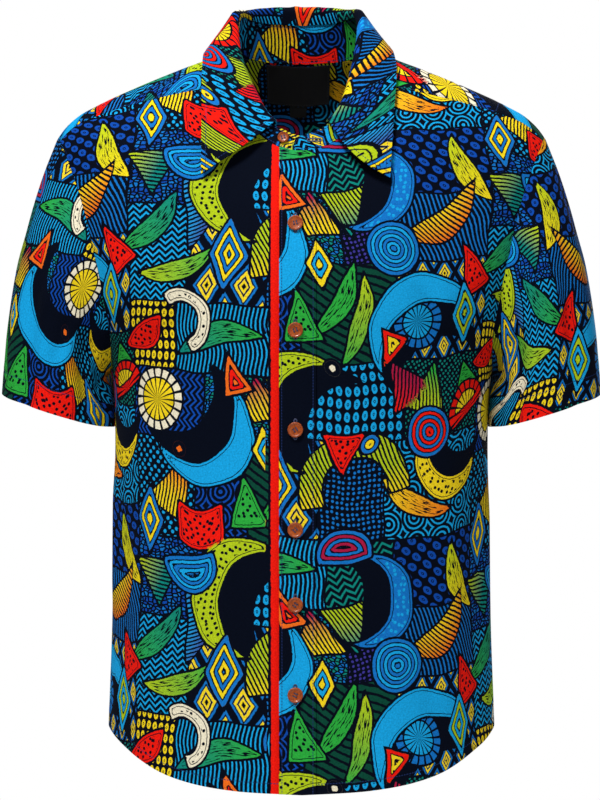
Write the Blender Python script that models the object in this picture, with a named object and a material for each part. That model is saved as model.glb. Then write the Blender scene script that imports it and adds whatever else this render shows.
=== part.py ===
"""A short-sleeved shirt of african print cotton, buttoned down the front with its neck button undone.

It is filled out as if worn, and hollow: neck, cuffs and hem are open. +Z is up, the fronts face -Y and +X is
the wearer's left. The origin is where the wearer's shoulders carry it, level with the neck seam at the sides.

The body is one smooth form, torso(across, along), and each cut piece is a stretch of it. "across" runs from -1
at the wearer's right side seam or armhole to 1 at the left. "along" runs from 0 on the ridge of the shoulders
to 1 at the chest and 2 at the hem, and is negative behind.
"""

import math

import bmesh
import bpy
import numpy as np
from mathutils import Matrix, Vector

MM = 0.001

# Walls and the gaps between them
CLOTH = 1.4 * MM
COLLAR_CLOTH = 1.4 * MM
HEM_CLOTH = 2.3 * MM
LABEL_CLOTH = 1.0 * MM
GAP = 0.3 * MM
LAYER = CLOTH + 0.5 * MM  # how far the buttoned front stands out from the one under it

# Body: level of each section, half its width, and its depth in front of and behind the side seams
BODY = (
    # level, half_width, front, back
    (-0.760, 0.2008, 0.1450, 0.1420),
    (-0.680, 0.1985, 0.1440, 0.1410),
    (-0.575, 0.1948, 0.1420, 0.1380),
    (-0.480, 0.1930, 0.1400, 0.1350),
    (-0.380, 0.1918, 0.1385, 0.1320),
    (-0.350, 0.1925, 0.1380, 0.1310),
    (-0.320, 0.1962, 0.1378, 0.1305),
    (-0.290, 0.2055, 0.1375, 0.1300),
    (-0.243, 0.2262, 0.1370, 0.1290),
    (-0.200, 0.2412, 0.1360, 0.1280),
)
# Ridge of the shoulders, from the middle of the neck out to the sleeve
RIDGE = (
    # x, level
    (0.000, 0.058),
    (0.020, 0.053),
    (0.040, 0.039),
    (0.060, 0.022),
    (0.080, 0.010),
    (0.095, 0.0035),
    (0.125, -0.0080),
    (0.145, -0.0160),
    (0.170, -0.0265),
    (0.211, -0.0455),
    (0.231, -0.0570),
    (0.2445, -0.0700),
    (0.258, -0.0900),
)
# Hem: a shirt tail, from the middle of the front out to the side seam
HEM = (
    # across, level
    (0.00, -0.7435),
    (0.25, -0.7393),
    (0.37, -0.7342),
    (0.51, -0.7242),
    (0.62, -0.7128),
    (0.76, -0.6988),
    (0.90, -0.6856),
    (1.00, -0.6810),
)
SHOULDER_TIP = 0.250
SHOULDER_TURN = math.radians(61)
CHEST_MIDDLE = -0.270
BLADES_MIDDLE = -0.220
ARMHOLE_MIDDLE = -0.200
ARMHOLE_FALL = 0.120  # from its middle down to the armpit
ARMHOLE_DEPTH = 0.066
NECK_HOLLOW_FRONT = 0.95
NECK_HOLLOW_BACK = 0.5
NECK_HOLLOW_REACH = 0.45

# Neck seam: an oval seen from above
NECK_HALF_WIDTH = 0.077
NECK_HALF_DEPTH = 0.080
NECK_CENTRE = -0.020
NECK_SQUARING = 0.85  # below 1 the front of the oval is squarer than a true one
YOKE_CORNER = 108  # degrees round the neck from its back, where the yoke meets the fronts
YOKE_TIP = 0.18  # "along" of the front yoke seam at the armhole
YOKE_BACK_LEVEL = -0.105

# Front closure, x of each line
PLACKET_EDGE = -0.0225
STAND_TIP = -0.0105
BUTTON_LINE = -0.0061
STRIP_MIDDLE = -0.0005
UNDERLAP_EDGE = 0.0095
PLACKET_FOLD = 0.0145
BUTTON_LEVELS = (-0.1711, -0.2780, -0.3780, -0.4783, -0.5534, -0.6435)

# Collar: what changes round the neck, in degrees from its back
STAND_HEIGHT = (
    # round, height
    (0, 0.0400),
    (30, 0.0398),
    (60, 0.0378),
    (90, 0.0324),
    (120, 0.0298),
    (135, 0.0272),
    (150, 0.0213),
    (158, 0.0196),
    (165, 0.0196),
    (172, 0.0184),
    (180, 0.0162),
    (184, 0.0130),
    (188, 0.0040),
)
STAND_LEAN = (
    # round, degrees inward
    (0, 8),
    (45, 15),
    (68, 22),
    (90, 25),
    (115, 26),
    (138, 25),
    (158, 20),
    (188, 17),
)
STAND_SHIFT = -0.0035  # its top sits a little to the wearer's right
LEAF_END = 158
# Leaf's outer edge, seen from above; the two front points spread differently
LEAF_EDGE = (
    # round, x_right, x_left, y_right, y_left
    (0, 0.0000, 0.0000, 0.0900, 0.0900),
    (30, 0.0500, 0.0500, 0.0810, 0.0810),
    (60, 0.0840, 0.0820, 0.0500, 0.0500),
    (90, 0.0960, 0.0895, 0.0020, 0.0020),
    (115, 0.1003, 0.0958, -0.0400, -0.0400),
    (137, 0.1008, 0.0936, -0.0730, -0.0750),
    (158, 0.1003, 0.0886, -0.1024, -0.1051),
)
LEAF_ROLL = (
    # round, rise over the stand, radius
    (0, 0.0125, 0.0060),
    (30, 0.0088, 0.0057),
    (60, 0.0012, 0.0049),
    (90, 0.0002, 0.0043),
    (130, 0.0010, 0.0038),
    (158, 0.0010, 0.0032),
)
LEAF_LIFT = 4.5 * MM
LEAF_SWELL_SIDE = 2.5 * MM
LEAF_SWELL_FRONT = 5.0 * MM
LEAF_BULGE_LEFT = 10 * MM  # how far each front edge bows out, and which way on the wearer's left
LEAF_BULGE_RIGHT = 4 * MM
LEAF_BULGE_WAY = (-0.62, -0.30, -0.72)

# Sleeve: its hem as a tilted oval, and the way the cloth leaves the armhole and reaches the hem
CUFF_CENTRE = Vector((0.2535, 0.0, -0.3580))
CUFF_HALF_WIDTH = Vector((0.0550, 0.0, 0.0170))
CUFF_HALF_DEPTH = 0.067
CUFF_DROOP = 0.0045
CUFF_HEM = 0.91  # share of the sleeve's length above the fold of its hem
SLEEVE_WAYS = (
    # turn, out, forward, down, out_end, down_end
    (0, 0.40, 0.00, 0.92, 0.07, 1.00),
    (45, 0.56, 0.10, 0.80, 0.09, 1.00),
    (90, 0.78, 0.22, 0.58, 0.12, 0.99),
    (135, 0.85, 0.14, 0.50, 0.12, 0.99),
    (180, 0.80, 0.00, 0.60, 0.08, 0.99),
)

# Folds of the body: turn round it in degrees (0 in front, 90 at the wearer's left), where the fold starts and
# ends, half its width, how far it stands out, and how far it leans round the body on its way down
BODY_FOLDS = (
    # turn, top, bottom, half_width, height, lean
    (58, -0.330, -0.700, 0.022, 0.0030, 0.020),
    (72, -0.400, -0.760, 0.020, -0.0030, -0.012),
    (-60, -0.320, -0.720, 0.024, 0.0028, -0.018),
    (-74, -0.430, -0.760, 0.020, -0.0028, 0.010),
    (46, -0.160, -0.340, 0.016, -0.0030, 0.020),
    (-46, -0.150, -0.330, 0.016, -0.0028, -0.020),
    (118, -0.280, -0.720, 0.026, 0.0040, 0.020),
    (150, -0.340, -0.760, 0.030, -0.0035, 0.010),
    (-122, -0.300, -0.700, 0.026, 0.0038, -0.016),
    (-156, -0.360, -0.760, 0.030, -0.0032, -0.014),
)
# Folds of a sleeve: turn round it (0 outside, 90 in front), start and end along it, half width, height
SLEEVE_FOLDS = (
    # turn, top, bottom, half_width, height
    (58, 0.30, 1.30, 0.011, -0.0042),
    (35, 0.20, 1.20, 0.016, 0.0020),
    (120, 0.00, 0.80, 0.014, -0.0030),
    (-60, 0.25, 1.30, 0.013, -0.0040),
    (-118, 0.00, 0.90, 0.016, -0.0030),
)

# Label and the size tab under it
LABEL_WIDTH = 0.068
LABEL_MIDDLE = -0.0036
LABEL_LENGTH = 0.047
TAB_WIDTH = 0.018
TAB_LENGTH = 0.012

# Buttons
BUTTON_RADIUS = 7.8 * MM
NECK_BUTTON_RADIUS = 5.8 * MM
BUTTON_THICKNESS = 3.0 * MM
BUTTON_RIM = 1.7 * MM
BUTTON_DISH = 0.8 * MM
BUTTON_HOLE_RADIUS = 0.95 * MM
BUTTON_HOLE_SPREAD = 2.1 * MM
BUTTON_SIDES = 18
NECK_BUTTON_TURN = -165.6

# Mesh: how many strips each stretch of a seam is cut into
NECK_STRIPS = 9
FRONT_NECK_STRIPS = 6
SEAM_STRIPS = 7
ARMHOLE_STRIPS = 10
SIDE_STRIPS = 8
YOKE_STRIPS = 6
SLEEVE_STRIPS = 9
HEM_STRIP = 0.965  # share of the side seam above the hem's fold

COLOURS = {
    # cloth, roughness
    "print_cotton": ((0.020, 0.090, 0.260), 0.85),
    "label_satin": ((0.006, 0.006, 0.008), 0.55),
    "coconut_shell": ((0.330, 0.085, 0.025), 0.45),
}


def column(table, index):
    """One column of a table, as an array."""
    return np.array([row[index] for row in table], float)


def through(knots, values, at):
    """A smooth curve through the values at the knots, read at the places in at."""
    order = np.argsort(knots)
    knots, values = knots[order], values[order]
    slopes = np.gradient(values, knots)
    at = np.clip(at, knots[0], knots[-1])
    low = np.clip(np.searchsorted(knots, at, side="right") - 1, 0, len(knots) - 2)
    span = knots[low + 1] - knots[low]
    t = (at - knots[low]) / span
    start = values[low] * (1 + 2 * t) + slopes[low] * span * t
    end = values[low + 1] * (3 - 2 * t) - slopes[low + 1] * span * (1 - t)
    return start * (1 - t) ** 2 + end * t**2


def read(table, index, at):
    """A table's column, smoothed over its first column."""
    return through(column(table, 0), column(table, index), at)


def ease(t):
    """0 to 1 with level ends."""
    t = np.clip(t, 0, 1)
    return t * t * (3 - 2 * t)


def unit(vectors):
    return vectors / np.maximum(np.linalg.norm(vectors, axis=-1, keepdims=True), 1e-12)


def stack(x, y, z):
    return np.stack(np.broadcast_arrays(x, y, z), axis=-1).astype(float)


def chest_level(across, back):
    """Where the rounding of the shoulders ends and the body falls straight."""
    middle = np.where(back, BLADES_MIDDLE, CHEST_MIDDLE)
    return middle + (ARMHOLE_MIDDLE - middle) * np.minimum(across**2, 1.1)


def size_at(level, back):
    """Half the body's width at that level, and its depth."""
    return read(BODY, 1, level), np.where(back, read(BODY, 3, level), read(BODY, 2, level))


def body_turn(across, level, back):
    """How far round its section at that level the body has turned from the middle."""
    fall = np.clip((ARMHOLE_MIDDLE - level) / ARMHOLE_FALL, 0, 1)
    edge = np.arccos(ARMHOLE_DEPTH * np.sqrt(1 - fall**2) / size_at(level, back)[1])
    soft = SHOULDER_TURN + (math.pi / 2 - SHOULDER_TURN) * ease(fall / 1.15)
    return across * soft + (edge - soft) * np.abs(across) ** 4 * across


def body_level(across, along):
    """Level of the section a point belongs to."""
    chest = chest_level(across, along < 0)
    hem = read(HEM, 1, np.abs(across))
    return chest + (hem - chest) * np.clip(np.abs(along) - 1, 0, 1)


def torso(across, along):
    """Points of the smooth body form."""
    back = along < 0
    level = body_level(across, along)
    round_body = body_turn(across, level, back)
    half_width, depth = size_at(level, back)
    x, y = half_width * np.sin(round_body), depth * np.cos(round_body)
    turn = np.clip(np.abs(along), 0, 1) * math.pi / 2
    rise = np.cos(turn)
    ridge_x = SHOULDER_TIP * np.sin(across * SHOULDER_TURN) / math.sin(SHOULDER_TURN)
    hollow = np.where(back, NECK_HOLLOW_BACK, NECK_HOLLOW_FRONT)
    power = 1 + hollow * (1 - ease(np.abs(across) / NECK_HOLLOW_REACH))
    x = x + (ridge_x - x) * (0.6 * rise + 0.4 * rise**2.2)
    y = y * np.sin(turn) ** power * np.where(back, 1, -1)
    z = level + (read(RIDGE, 1, np.abs(ridge_x)) - level) * rise
    return stack(x, y, z)


def torso_facing(across, along):
    """Outward normals of the body form."""
    step = 1e-3
    sideways = torso(across + step, along) - torso(across - step, along)
    upward = torso(across, along - step) - torso(across, along + step)
    rounded = unit(np.cross(sideways, upward))
    back = along < 0
    level = body_level(across, along)
    turn = body_turn(across, level, back)
    half_width, depth = size_at(level, back)
    flare, swell = (a - b for a, b in zip(size_at(level + step, back), size_at(level - step, back)))
    rising = -(half_width * swell * np.cos(turn) ** 2 + depth * flare * np.sin(turn) ** 2) / (2 * step)
    straight = stack(depth * np.sin(turn), half_width * np.cos(turn) * np.where(back, 1, -1), rising)
    return np.where((np.abs(along) > 1)[..., None], unit(straight), rounded)


def body_folds(points):
    """How far the cloth stands out from the smooth form at these points."""
    turn = np.degrees(np.arctan2(points[..., 0], -points[..., 1]))
    height = np.zeros(turn.shape)
    for middle, top, bottom, half_width, out, lean in BODY_FOLDS:
        run = (top - points[..., 2]) / (top - bottom)
        away = (turn - middle + 180) % 360 - 180
        offset = np.radians(away) * 0.16 - lean * np.clip(run, 0, 1)
        span = ease(run * 4) * ease((1 - run) * 4)
        height += out * span * np.exp(-((offset / half_width) ** 2))
    return height


def cloth(across, along, lift=0.0):
    """The body's outer face with its folds, and its outward normals."""
    across, along = np.broadcast_arrays(np.asarray(across, float), np.asarray(along, float))
    points = torso(across, along)
    facing = torso_facing(across, along)
    lift = np.asarray(lift, float) + body_folds(points)
    return points + facing * lift[..., None], facing


def seen_from_above(x, y):
    """across and along of the body under a point x, y."""
    x, y = np.asarray(x, float), np.asarray(y, float)
    side = np.where(y > 0, -1.0, 1.0)
    across = x / SHOULDER_TIP
    along = 0.5 * side
    for _ in range(40):
        spot = torso(across, along)
        across = across * np.where(np.abs(x) > 1e-9, x / np.where(spot[..., 0] == 0, 1, spot[..., 0]), 1)
        wide = torso(across, side)[..., 1]
        hollow = np.where(y > 0, NECK_HOLLOW_BACK, NECK_HOLLOW_FRONT)
        power = 1 + hollow * (1 - ease(np.abs(across) / NECK_HOLLOW_REACH))
        share = np.clip(np.abs(y / wide), 0, 1) ** (1 / power)
        along = side * np.arcsin(share) / (math.pi / 2)
    return across, along


def at_x(x, along):
    """across of the point with that x, at that place along."""
    across = np.broadcast_to(np.asarray(x / SHOULDER_TIP, float), np.shape(along)).copy()
    for _ in range(12):
        across = across * x / torso(across, along)[..., 0]
    return across


def neck_oval(around):
    """The neck seam seen from above, by degrees from its back."""
    turn = np.radians(around)
    ahead = np.cos(turn)
    ahead = np.where(ahead < 0, -(np.abs(ahead) ** NECK_SQUARING), ahead)
    return NECK_HALF_WIDTH * np.sin(turn), NECK_CENTRE + NECK_HALF_DEPTH * ahead


def neck_seam(around):
    """across and along of the neck seam."""
    return seen_from_above(*neck_oval(np.asarray(around, float)))


def layer_lift(x):
    """The buttoned front stands out over the one under it, and settles back beside it."""
    return LAYER * (1 - ease((x - PLACKET_FOLD) / 0.035))


def pull_in(points, amount):
    """Moves the four edges of a sheet of points towards its inside, which leaves the gap at each seam."""
    points = points.copy()
    inside = points.copy()
    for edge, beside in ((0, 1), (-1, -2)):
        points[edge] += unit(inside[beside] - inside[edge]) * amount
        points[:, edge] += unit(inside[:, beside] - inside[:, edge]) * amount
    return points


def wall(name, outside, facing, thickness, material, closed=False):
    """A sheet of points, extruded inwards into a closed wall. thickness may vary over the sheet."""
    rows, columns = outside.shape[0] - 1, outside.shape[1] - 1
    inside = outside - facing * np.broadcast_to(np.asarray(thickness, float), outside.shape[:2])[..., None]
    shell = bmesh.new()
    bmesh.ops.create_grid(shell, x_segments=columns, y_segments=rows, size=1)
    spot = shell.verts.layers.int.new("spot")
    for index, (vertex, point) in enumerate(zip(shell.verts, outside.reshape(-1, 3))):
        vertex.co = point
        vertex[spot] = index
    if closed:
        bmesh.ops.remove_doubles(shell, verts=shell.verts[:], dist=0.02 * MM)
    made = bmesh.ops.extrude_face_region(shell, geom=shell.faces[:])["geom"]
    inner = inside.reshape(-1, 3)
    for vertex in (item for item in made if isinstance(item, bmesh.types.BMVert)):
        vertex.co = inner[vertex[spot]]
    bmesh.ops.recalc_face_normals(shell, faces=shell.faces[:])
    return finish(name, shell, material)


def finish(name, shell, material):
    """Turns a bmesh into an object of the shirt."""
    mesh = bpy.data.meshes.new(name)
    shell.to_mesh(mesh)
    shell.free()
    mesh.shade_smooth()
    mesh.set_sharp_from_angle(angle=math.radians(50))
    mesh.materials.append(MATERIALS[material])
    piece = bpy.data.objects.new(name, mesh)
    SHIRT.objects.link(piece)
    return piece


def make_materials():
    made = {}
    for name, (colour, roughness) in COLOURS.items():
        material = bpy.data.materials.new(name)
        material.use_nodes = True
        shader = material.node_tree.nodes["Principled BSDF"]
        shader.inputs["Base Color"].default_value = (*colour, 1)
        shader.inputs["Roughness"].default_value = roughness
        made[name] = material
    return made


def armpit_along(back):
    """along of the armpit, which ends the armhole."""
    level = ARMHOLE_MIDDLE - ARMHOLE_FALL
    return 1 + (ARMHOLE_MIDDLE - level) / (ARMHOLE_MIDDLE - HEM[-1][1])


def yoke_front_stations():
    """The front yoke seam on the wearer's left, from the neck out to the armhole."""
    start_across, start_along = neck_seam(YOKE_CORNER)
    run = np.linspace(0, 1, SEAM_STRIPS + 1)
    return start_across + (1 - start_across) * run, start_along + (YOKE_TIP - start_along) * run


def yoke_back_along(across):
    """along, behind, of the level back yoke seam."""
    chest = chest_level(across, True)
    ridge_x = SHOULDER_TIP * np.sin(across * SHOULDER_TURN) / math.sin(SHOULDER_TURN)
    ridge = read(RIDGE, 1, np.abs(ridge_x))
    return -np.arccos((YOKE_BACK_LEVEL - chest) / (ridge - chest)) / (math.pi / 2)


def yoke_upper_edge():
    """The yoke's upper edge on the wearer's left: back of the neck, round to the corner, out to the armhole."""
    around = np.linspace(0, YOKE_CORNER, NECK_STRIPS + 1)
    neck_across, neck_along = neck_seam(around)
    seam_across, seam_along = yoke_front_stations()
    return np.append(neck_across, seam_across[1:]), np.append(neck_along, seam_along[1:])


def yoke_lower_edge():
    """across of the back yoke seam's stations on the wearer's left, spaced as the upper edge's points are."""
    upper, _ = cloth(*yoke_upper_edge())
    steps = np.linalg.norm(np.diff(upper, axis=0), axis=1)
    share = np.append(0, np.cumsum(steps)) / steps.sum()
    return share


def mirrored(left):
    """A half's values with the other half's before them, across changing its sign."""
    return np.append(-left[:0:-1], left)


def make_yoke():
    top_across, top_along = yoke_upper_edge()
    low_across = yoke_lower_edge()
    low_along = yoke_back_along(low_across)
    top = (mirrored(top_across), np.append(top_along[:0:-1], top_along))
    low = (mirrored(low_across), np.append(low_along[:0:-1], low_along))
    run = np.linspace(0, 1, YOKE_STRIPS + 1)[:, None]
    across = top[0] + (low[0] - top[0]) * run
    along = top[1] + (low[1] - top[1]) * run
    points, facing = cloth(across, along)
    wall("yoke", pull_in(points, GAP * 0.6), facing, CLOTH, "print_cotton")


def side_shares(top, armpit, rows_above):
    """Shares of a panel's length at its side: even down the armhole, even down the side seam, and the hem."""
    above = np.linspace(top, armpit, rows_above + 1)
    below = np.linspace(armpit, 2, SIDE_STRIPS + 1)
    fold = armpit + (2 - armpit) * HEM_STRIP
    stations = np.append(np.append(above, below[1:-1]), (fold, 2))
    return (stations - top) / (2 - top)


def even_shares(count, turn_share, turn_row):
    """Shares of a panel's length at its middle, with the armpit's row at turn_share."""
    above = np.linspace(0, turn_share, turn_row + 1)
    below = np.linspace(turn_share, 1, count - turn_row)
    fold = turn_share + (1 - turn_share) * HEM_STRIP
    return np.append(np.append(above, below[1:-1]), (fold, 1))


def hem_thickness(rows, columns):
    """The wall is thicker below the hem's fold."""
    thickness = np.full((rows, columns), CLOTH)
    thickness[-2:] = HEM_CLOTH
    return thickness


def front_sheet(side):
    """across and along of a front's points. side is 1 for the wearer's left front and -1 for the right."""
    strip_x = np.array([PLACKET_EDGE, STAND_TIP, STRIP_MIDDLE, UNDERLAP_EDGE, PLACKET_FOLD])
    strip_x = strip_x if side > 0 else -strip_x[3::-1]
    around_strip = at_neck(strip_x)
    around_neck = np.linspace(LEAF_END, YOKE_CORNER, FRONT_NECK_STRIPS)
    across_neck, along_neck = neck_seam(np.append(around_strip, around_neck))
    seam_across, seam_along = yoke_front_stations()
    top_across = np.append(across_neck, seam_across[1:])
    top_along = np.append(along_neck, seam_along[1:])
    strips = len(strip_x)
    reach = np.arange(len(top_across)) - (strips - 1)
    blend = ease(np.clip(reach / reach[-1], 0, 1)) * 0.4 + np.clip(reach / reach[-1], 0, 1) * 0.6
    at_side = side_shares(YOKE_TIP, armpit_along(False), ARMHOLE_STRIPS)
    at_middle = even_shares(len(at_side) - 1, 0.34, ARMHOLE_STRIPS)
    share = at_middle[:, None] * (1 - blend) + at_side[:, None] * blend
    along = top_along + (2 - top_along) * share
    foot = at_x(strip_x[-1], 2.0)
    low_across = foot + (1 - foot) * np.clip(reach / reach[-1], 0, 1)
    across = top_across + (low_across - top_across) * share
    across[:, 0:strips] = np.stack([at_x(x, along[:, i]) for i, x in enumerate(strip_x)], axis=1)
    across[:, -1] = 1
    return across, along


def make_front(name, side):
    across, along = front_sheet(side)
    across = across * side
    points, _ = cloth(across, along)
    lift = layer_lift(points[..., 0]) if side > 0 else 0.0
    points, facing = cloth(across, along, lift)
    thickness = hem_thickness(*across.shape)
    if side > 0:
        thickness[:, :5] = CLOTH
    wall(name, pull_in(points, GAP * 0.6), facing, thickness, "print_cotton")


def make_placket():
    """The band on the buttoned front, laid on that front's own points."""
    across, along = front_sheet(1)
    across, along = across[:, :5], along[:, :5]
    points, facing = cloth(across, along, LAYER + GAP + COLLAR_CLOTH)
    wall("placket", pull_in(points, GAP), facing, COLLAR_CLOTH, "print_cotton")


def make_back():
    half = yoke_lower_edge()
    top_across = mirrored(half)
    top_along = yoke_back_along(top_across)
    blend = ease(np.abs(top_across)) * 0.4 + np.abs(top_across) * 0.6
    at_side = side_shares(-top_along[-1], armpit_along(True), ARMHOLE_STRIPS)
    at_middle = even_shares(len(at_side) - 1, 0.34, ARMHOLE_STRIPS)
    share = at_middle[:, None] * (1 - blend) + at_side[:, None] * blend
    along = top_along + (-2 - top_along) * share
    across = np.broadcast_to(top_across, along.shape)
    points, facing = cloth(across, along)
    wall("back", pull_in(points, GAP * 0.6), facing, hem_thickness(*across.shape), "print_cotton")


def armhole_turns():
    """Degrees round the armhole of every seam station, from behind the armpit over the shoulder to the front."""
    front = side_shares(YOKE_TIP, armpit_along(False), ARMHOLE_STRIPS)[: ARMHOLE_STRIPS + 1]
    front = YOKE_TIP + front * (2 - YOKE_TIP)
    back_top = -yoke_back_along(np.array(1.0))
    back = side_shares(back_top, armpit_along(True), ARMHOLE_STRIPS)[: ARMHOLE_STRIPS + 1]
    back = back_top + back * (2 - back_top)
    yoke = np.linspace(YOKE_TIP, -back_top, YOKE_STRIPS + 1)[1:-1]
    along = np.concatenate((-back[::-1], yoke[::-1], front))
    fall = (np.abs(along) - 1) * (ARMHOLE_MIDDLE - HEM[-1][1]) / ARMHOLE_FALL
    below = 90 + np.degrees(np.arcsin(np.clip(fall, 0, 1)))
    return np.where(np.abs(along) <= 1, np.abs(along) * 90, below) * np.sign(along), along


def sleeve_sheet(turn, run):
    """Points of the wearer's left sleeve. turn is degrees round it, run goes from the armhole to the hem."""
    sign = np.where(turn < 0, -1.0, 1.0)
    around = np.abs(turn)
    below = 1 + np.sin(np.radians(np.clip(around - 90, 0, 90))) * ARMHOLE_FALL / (ARMHOLE_MIDDLE - HEM[-1][1])
    along = np.where(around <= 90, around / 90, below) * np.where(turn < 0, -1, 1)
    start, _ = cloth(np.ones_like(along), along)
    angle = np.radians(around)
    cuff = np.array(CUFF_CENTRE) + np.cos(angle)[..., None] * np.array(CUFF_HALF_WIDTH)
    cuff[..., 1] -= sign * CUFF_HALF_DEPTH * np.sin(angle)
    cuff[..., 2] -= CUFF_DROOP * np.sin(angle)
    length = np.linalg.norm(cuff - start, axis=-1)[..., None]
    leaving = unit(
        stack(
            read(SLEEVE_WAYS, 1, around),
            -sign * read(SLEEVE_WAYS, 2, around),
            -read(SLEEVE_WAYS, 3, around),
        )
    )
    arriving = unit(stack(read(SLEEVE_WAYS, 4, around), 0.0, -read(SLEEVE_WAYS, 5, around)))
    t = run[..., None]
    return (
        start * (1 + 2 * t) * (1 - t) ** 2
        + cuff * t**2 * (3 - 2 * t)
        + leaving * length * t * (1 - t) ** 2
        - arriving * length * t**2 * (1 - t)
    )


def sleeve_facing(turn, run):
    step = 1e-3
    high = np.minimum(run + step, 1)
    low = np.maximum(run - step, 0)
    around = sleeve_sheet(turn + 0.2, run) - sleeve_sheet(turn - 0.2, run)
    down = sleeve_sheet(turn, high) - sleeve_sheet(turn, low)
    return unit(np.cross(down, around)) * -1


def sleeve_folds(turn, run):
    height = np.zeros(turn.shape)
    for middle, top, bottom, half_width, out in SLEEVE_FOLDS:
        away = np.radians((turn - middle + 180) % 360 - 180) * 0.062
        share = (run - top) / (bottom - top)
        height += out * ease(share * 3) * ease((1 - share) * 3) * np.exp(-((away / half_width) ** 2))
    return height


def make_sleeve(name, side):
    turns, _ = armhole_turns()
    turns = turns.copy()
    turns[0], turns[-1] = -180, 180
    runs = np.append(np.linspace(0, CUFF_HEM, SLEEVE_STRIPS), (CUFF_HEM + 0.006, 1))
    turn, run = np.meshgrid(turns, runs)
    points = sleeve_sheet(turn, run)
    facing = sleeve_facing(np.clip(turn, -179.7, 179.7), run)
    facing[:, 0] = facing[:, -1] = unit(facing[:, 0] + facing[:, -1])
    points = points + facing * sleeve_folds(turn, run)[..., None]
    points[:, -1] = points[:, 0]
    points[0] += unit(points[1] - points[0]) * GAP
    mirror = np.array((side, 1, 1))
    thickness = np.full(turn.shape, CLOTH)
    thickness[-2:] = HEM_CLOTH
    wall(name, points * mirror, facing * mirror, thickness, "print_cotton", closed=True)


def stand_lift(around):
    """The buttonhole end of the stand lies over the button end, as the front under it does."""
    return np.where(around > 90, layer_lift(neck_oval(around)[0]), 0.0)


def stand_sheet(around, up):
    """Points of the collar stand's outer face. around is signed degrees from the back, up goes from 0 to 1."""
    size = np.abs(around)
    seam_x, seam_y = neck_oval(around)
    across, along = seen_from_above(seam_x, seam_y)
    foot, facing = cloth(across, along, stand_lift(around))
    lean = np.radians(read(STAND_LEAN, 1, size))
    inward = -unit(stack(np.sin(np.radians(around)), np.cos(np.radians(around)), 0.0))
    way = inward * np.sin(lean)[..., None] + stack(0.0, 0.0, np.cos(lean))
    height = read(STAND_HEIGHT, 1, size) * up
    shift = STAND_SHIFT * (1 - ease((size - 100) / 50)) * up**2
    return foot + way * (height + GAP)[..., None] + stack(shift, 0.0, 0.0)


def stand_facing(around, up):
    low, high = np.clip(up - 0.3, 0, 1), np.clip(up + 0.3, 0, 1)
    sideways = stand_sheet(around + 1, up) - stand_sheet(around - 1, up)
    upward = stand_sheet(around, high) - stand_sheet(around, low)
    return unit(np.cross(upward, sideways))


def at_neck(x):
    """Degrees round the neck of the place in front with that x."""
    return 180 - np.degrees(np.arcsin(np.asarray(x) / NECK_HALF_WIDTH))


def stand_stations():
    """Degrees round the neck of the stand's strips, the same as those of the pieces sewn to it."""
    back = np.linspace(0, YOKE_CORNER, NECK_STRIPS + 1)
    front = np.linspace(YOKE_CORNER, LEAF_END, FRONT_NECK_STRIPS)[1:]
    over = at_neck((PLACKET_FOLD, UNDERLAP_EDGE, STRIP_MIDDLE, STAND_TIP))
    under = at_neck((-PLACKET_EDGE, -STAND_TIP, -STRIP_MIDDLE, -UNDERLAP_EDGE))
    left = np.concatenate((back, front, over))
    right = np.concatenate((back, front, under))
    return np.append(-right[:0:-1], left)


def make_stand():
    around, up = np.meshgrid(stand_stations(), np.linspace(0, 1, 4))
    points = stand_sheet(around, up)
    facing = stand_facing(around, up)
    wall("collar_stand", points, facing, COLLAR_CLOTH, "print_cotton")


def leaf_sheet(around, out):
    """Points of the collar leaf's upper face: up from the stand's inner face, over the roll and down to its edge."""
    size = np.abs(around)
    top = np.ones_like(size)
    facing = stand_facing(around, top)
    foot = stand_sheet(around, top) - facing * COLLAR_CLOTH
    up = unit(stand_sheet(around, top) - stand_sheet(around, top * 0.5))
    foot = foot + up * GAP * 1.6
    rise, radius = read(LEAF_ROLL, 1, size), read(LEAF_ROLL, 2, size)
    turn = np.clip(out / 0.4, 0, 1) * math.radians(150)
    straight = np.clip(out / 0.1, 0, 1)
    level = (rise * straight + radius * np.sin(turn))[..., None]
    roll = foot + up * level + facing * (radius * (1 - np.cos(turn)))[..., None]
    edge_x = np.where(around > 0, read(LEAF_EDGE, 2, size), -read(LEAF_EDGE, 1, size))
    edge_y = np.where(around > 0, read(LEAF_EDGE, 4, size), read(LEAF_EDGE, 3, size))
    edge, edge_facing = cloth(*seen_from_above(edge_x, edge_y), LEAF_LIFT)
    fall = np.clip((out - 0.4) / 0.6, 0, 1)[..., None]
    swell = LEAF_SWELL_SIDE + (LEAF_SWELL_FRONT - LEAF_SWELL_SIDE) * ease((size - 90) / 50)
    bulge = np.where(around > 0, LEAF_BULGE_LEFT, LEAF_BULGE_RIGHT) * ease((size - 105) / 50)
    aside = np.sign(around)[..., None] * np.array(LEAF_BULGE_WAY) * (1, 0, 0) + np.array(LEAF_BULGE_WAY) * (0, 1, 1)
    swell = np.sin(fall * math.pi) * swell[..., None] * unit(edge_facing + facing)
    return roll + (edge - roll) * fall + swell + np.sin(fall * math.pi) * bulge[..., None] * aside


def leaf_facing(around, out):
    step = 0.01
    sideways = leaf_sheet(around + 0.5, out) - leaf_sheet(around - 0.5, out)
    onward = leaf_sheet(around, np.minimum(out + step, 1)) - leaf_sheet(around, np.maximum(out - step, 0))
    return unit(np.cross(onward, sideways))


def leaf_stations():
    stations = stand_stations()
    return stations[np.abs(stations) < LEAF_END + 0.1]


def make_leaf():
    runs = (0, 0.08, 0.16, 0.24, 0.32, 0.4, 0.55, 0.7, 0.85, 1)
    around, out = np.meshgrid(leaf_stations(), runs)
    points = leaf_sheet(around, out)
    facing = leaf_facing(around, out)
    wall("collar_leaf", points, facing, COLLAR_CLOTH, "print_cotton")


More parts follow.
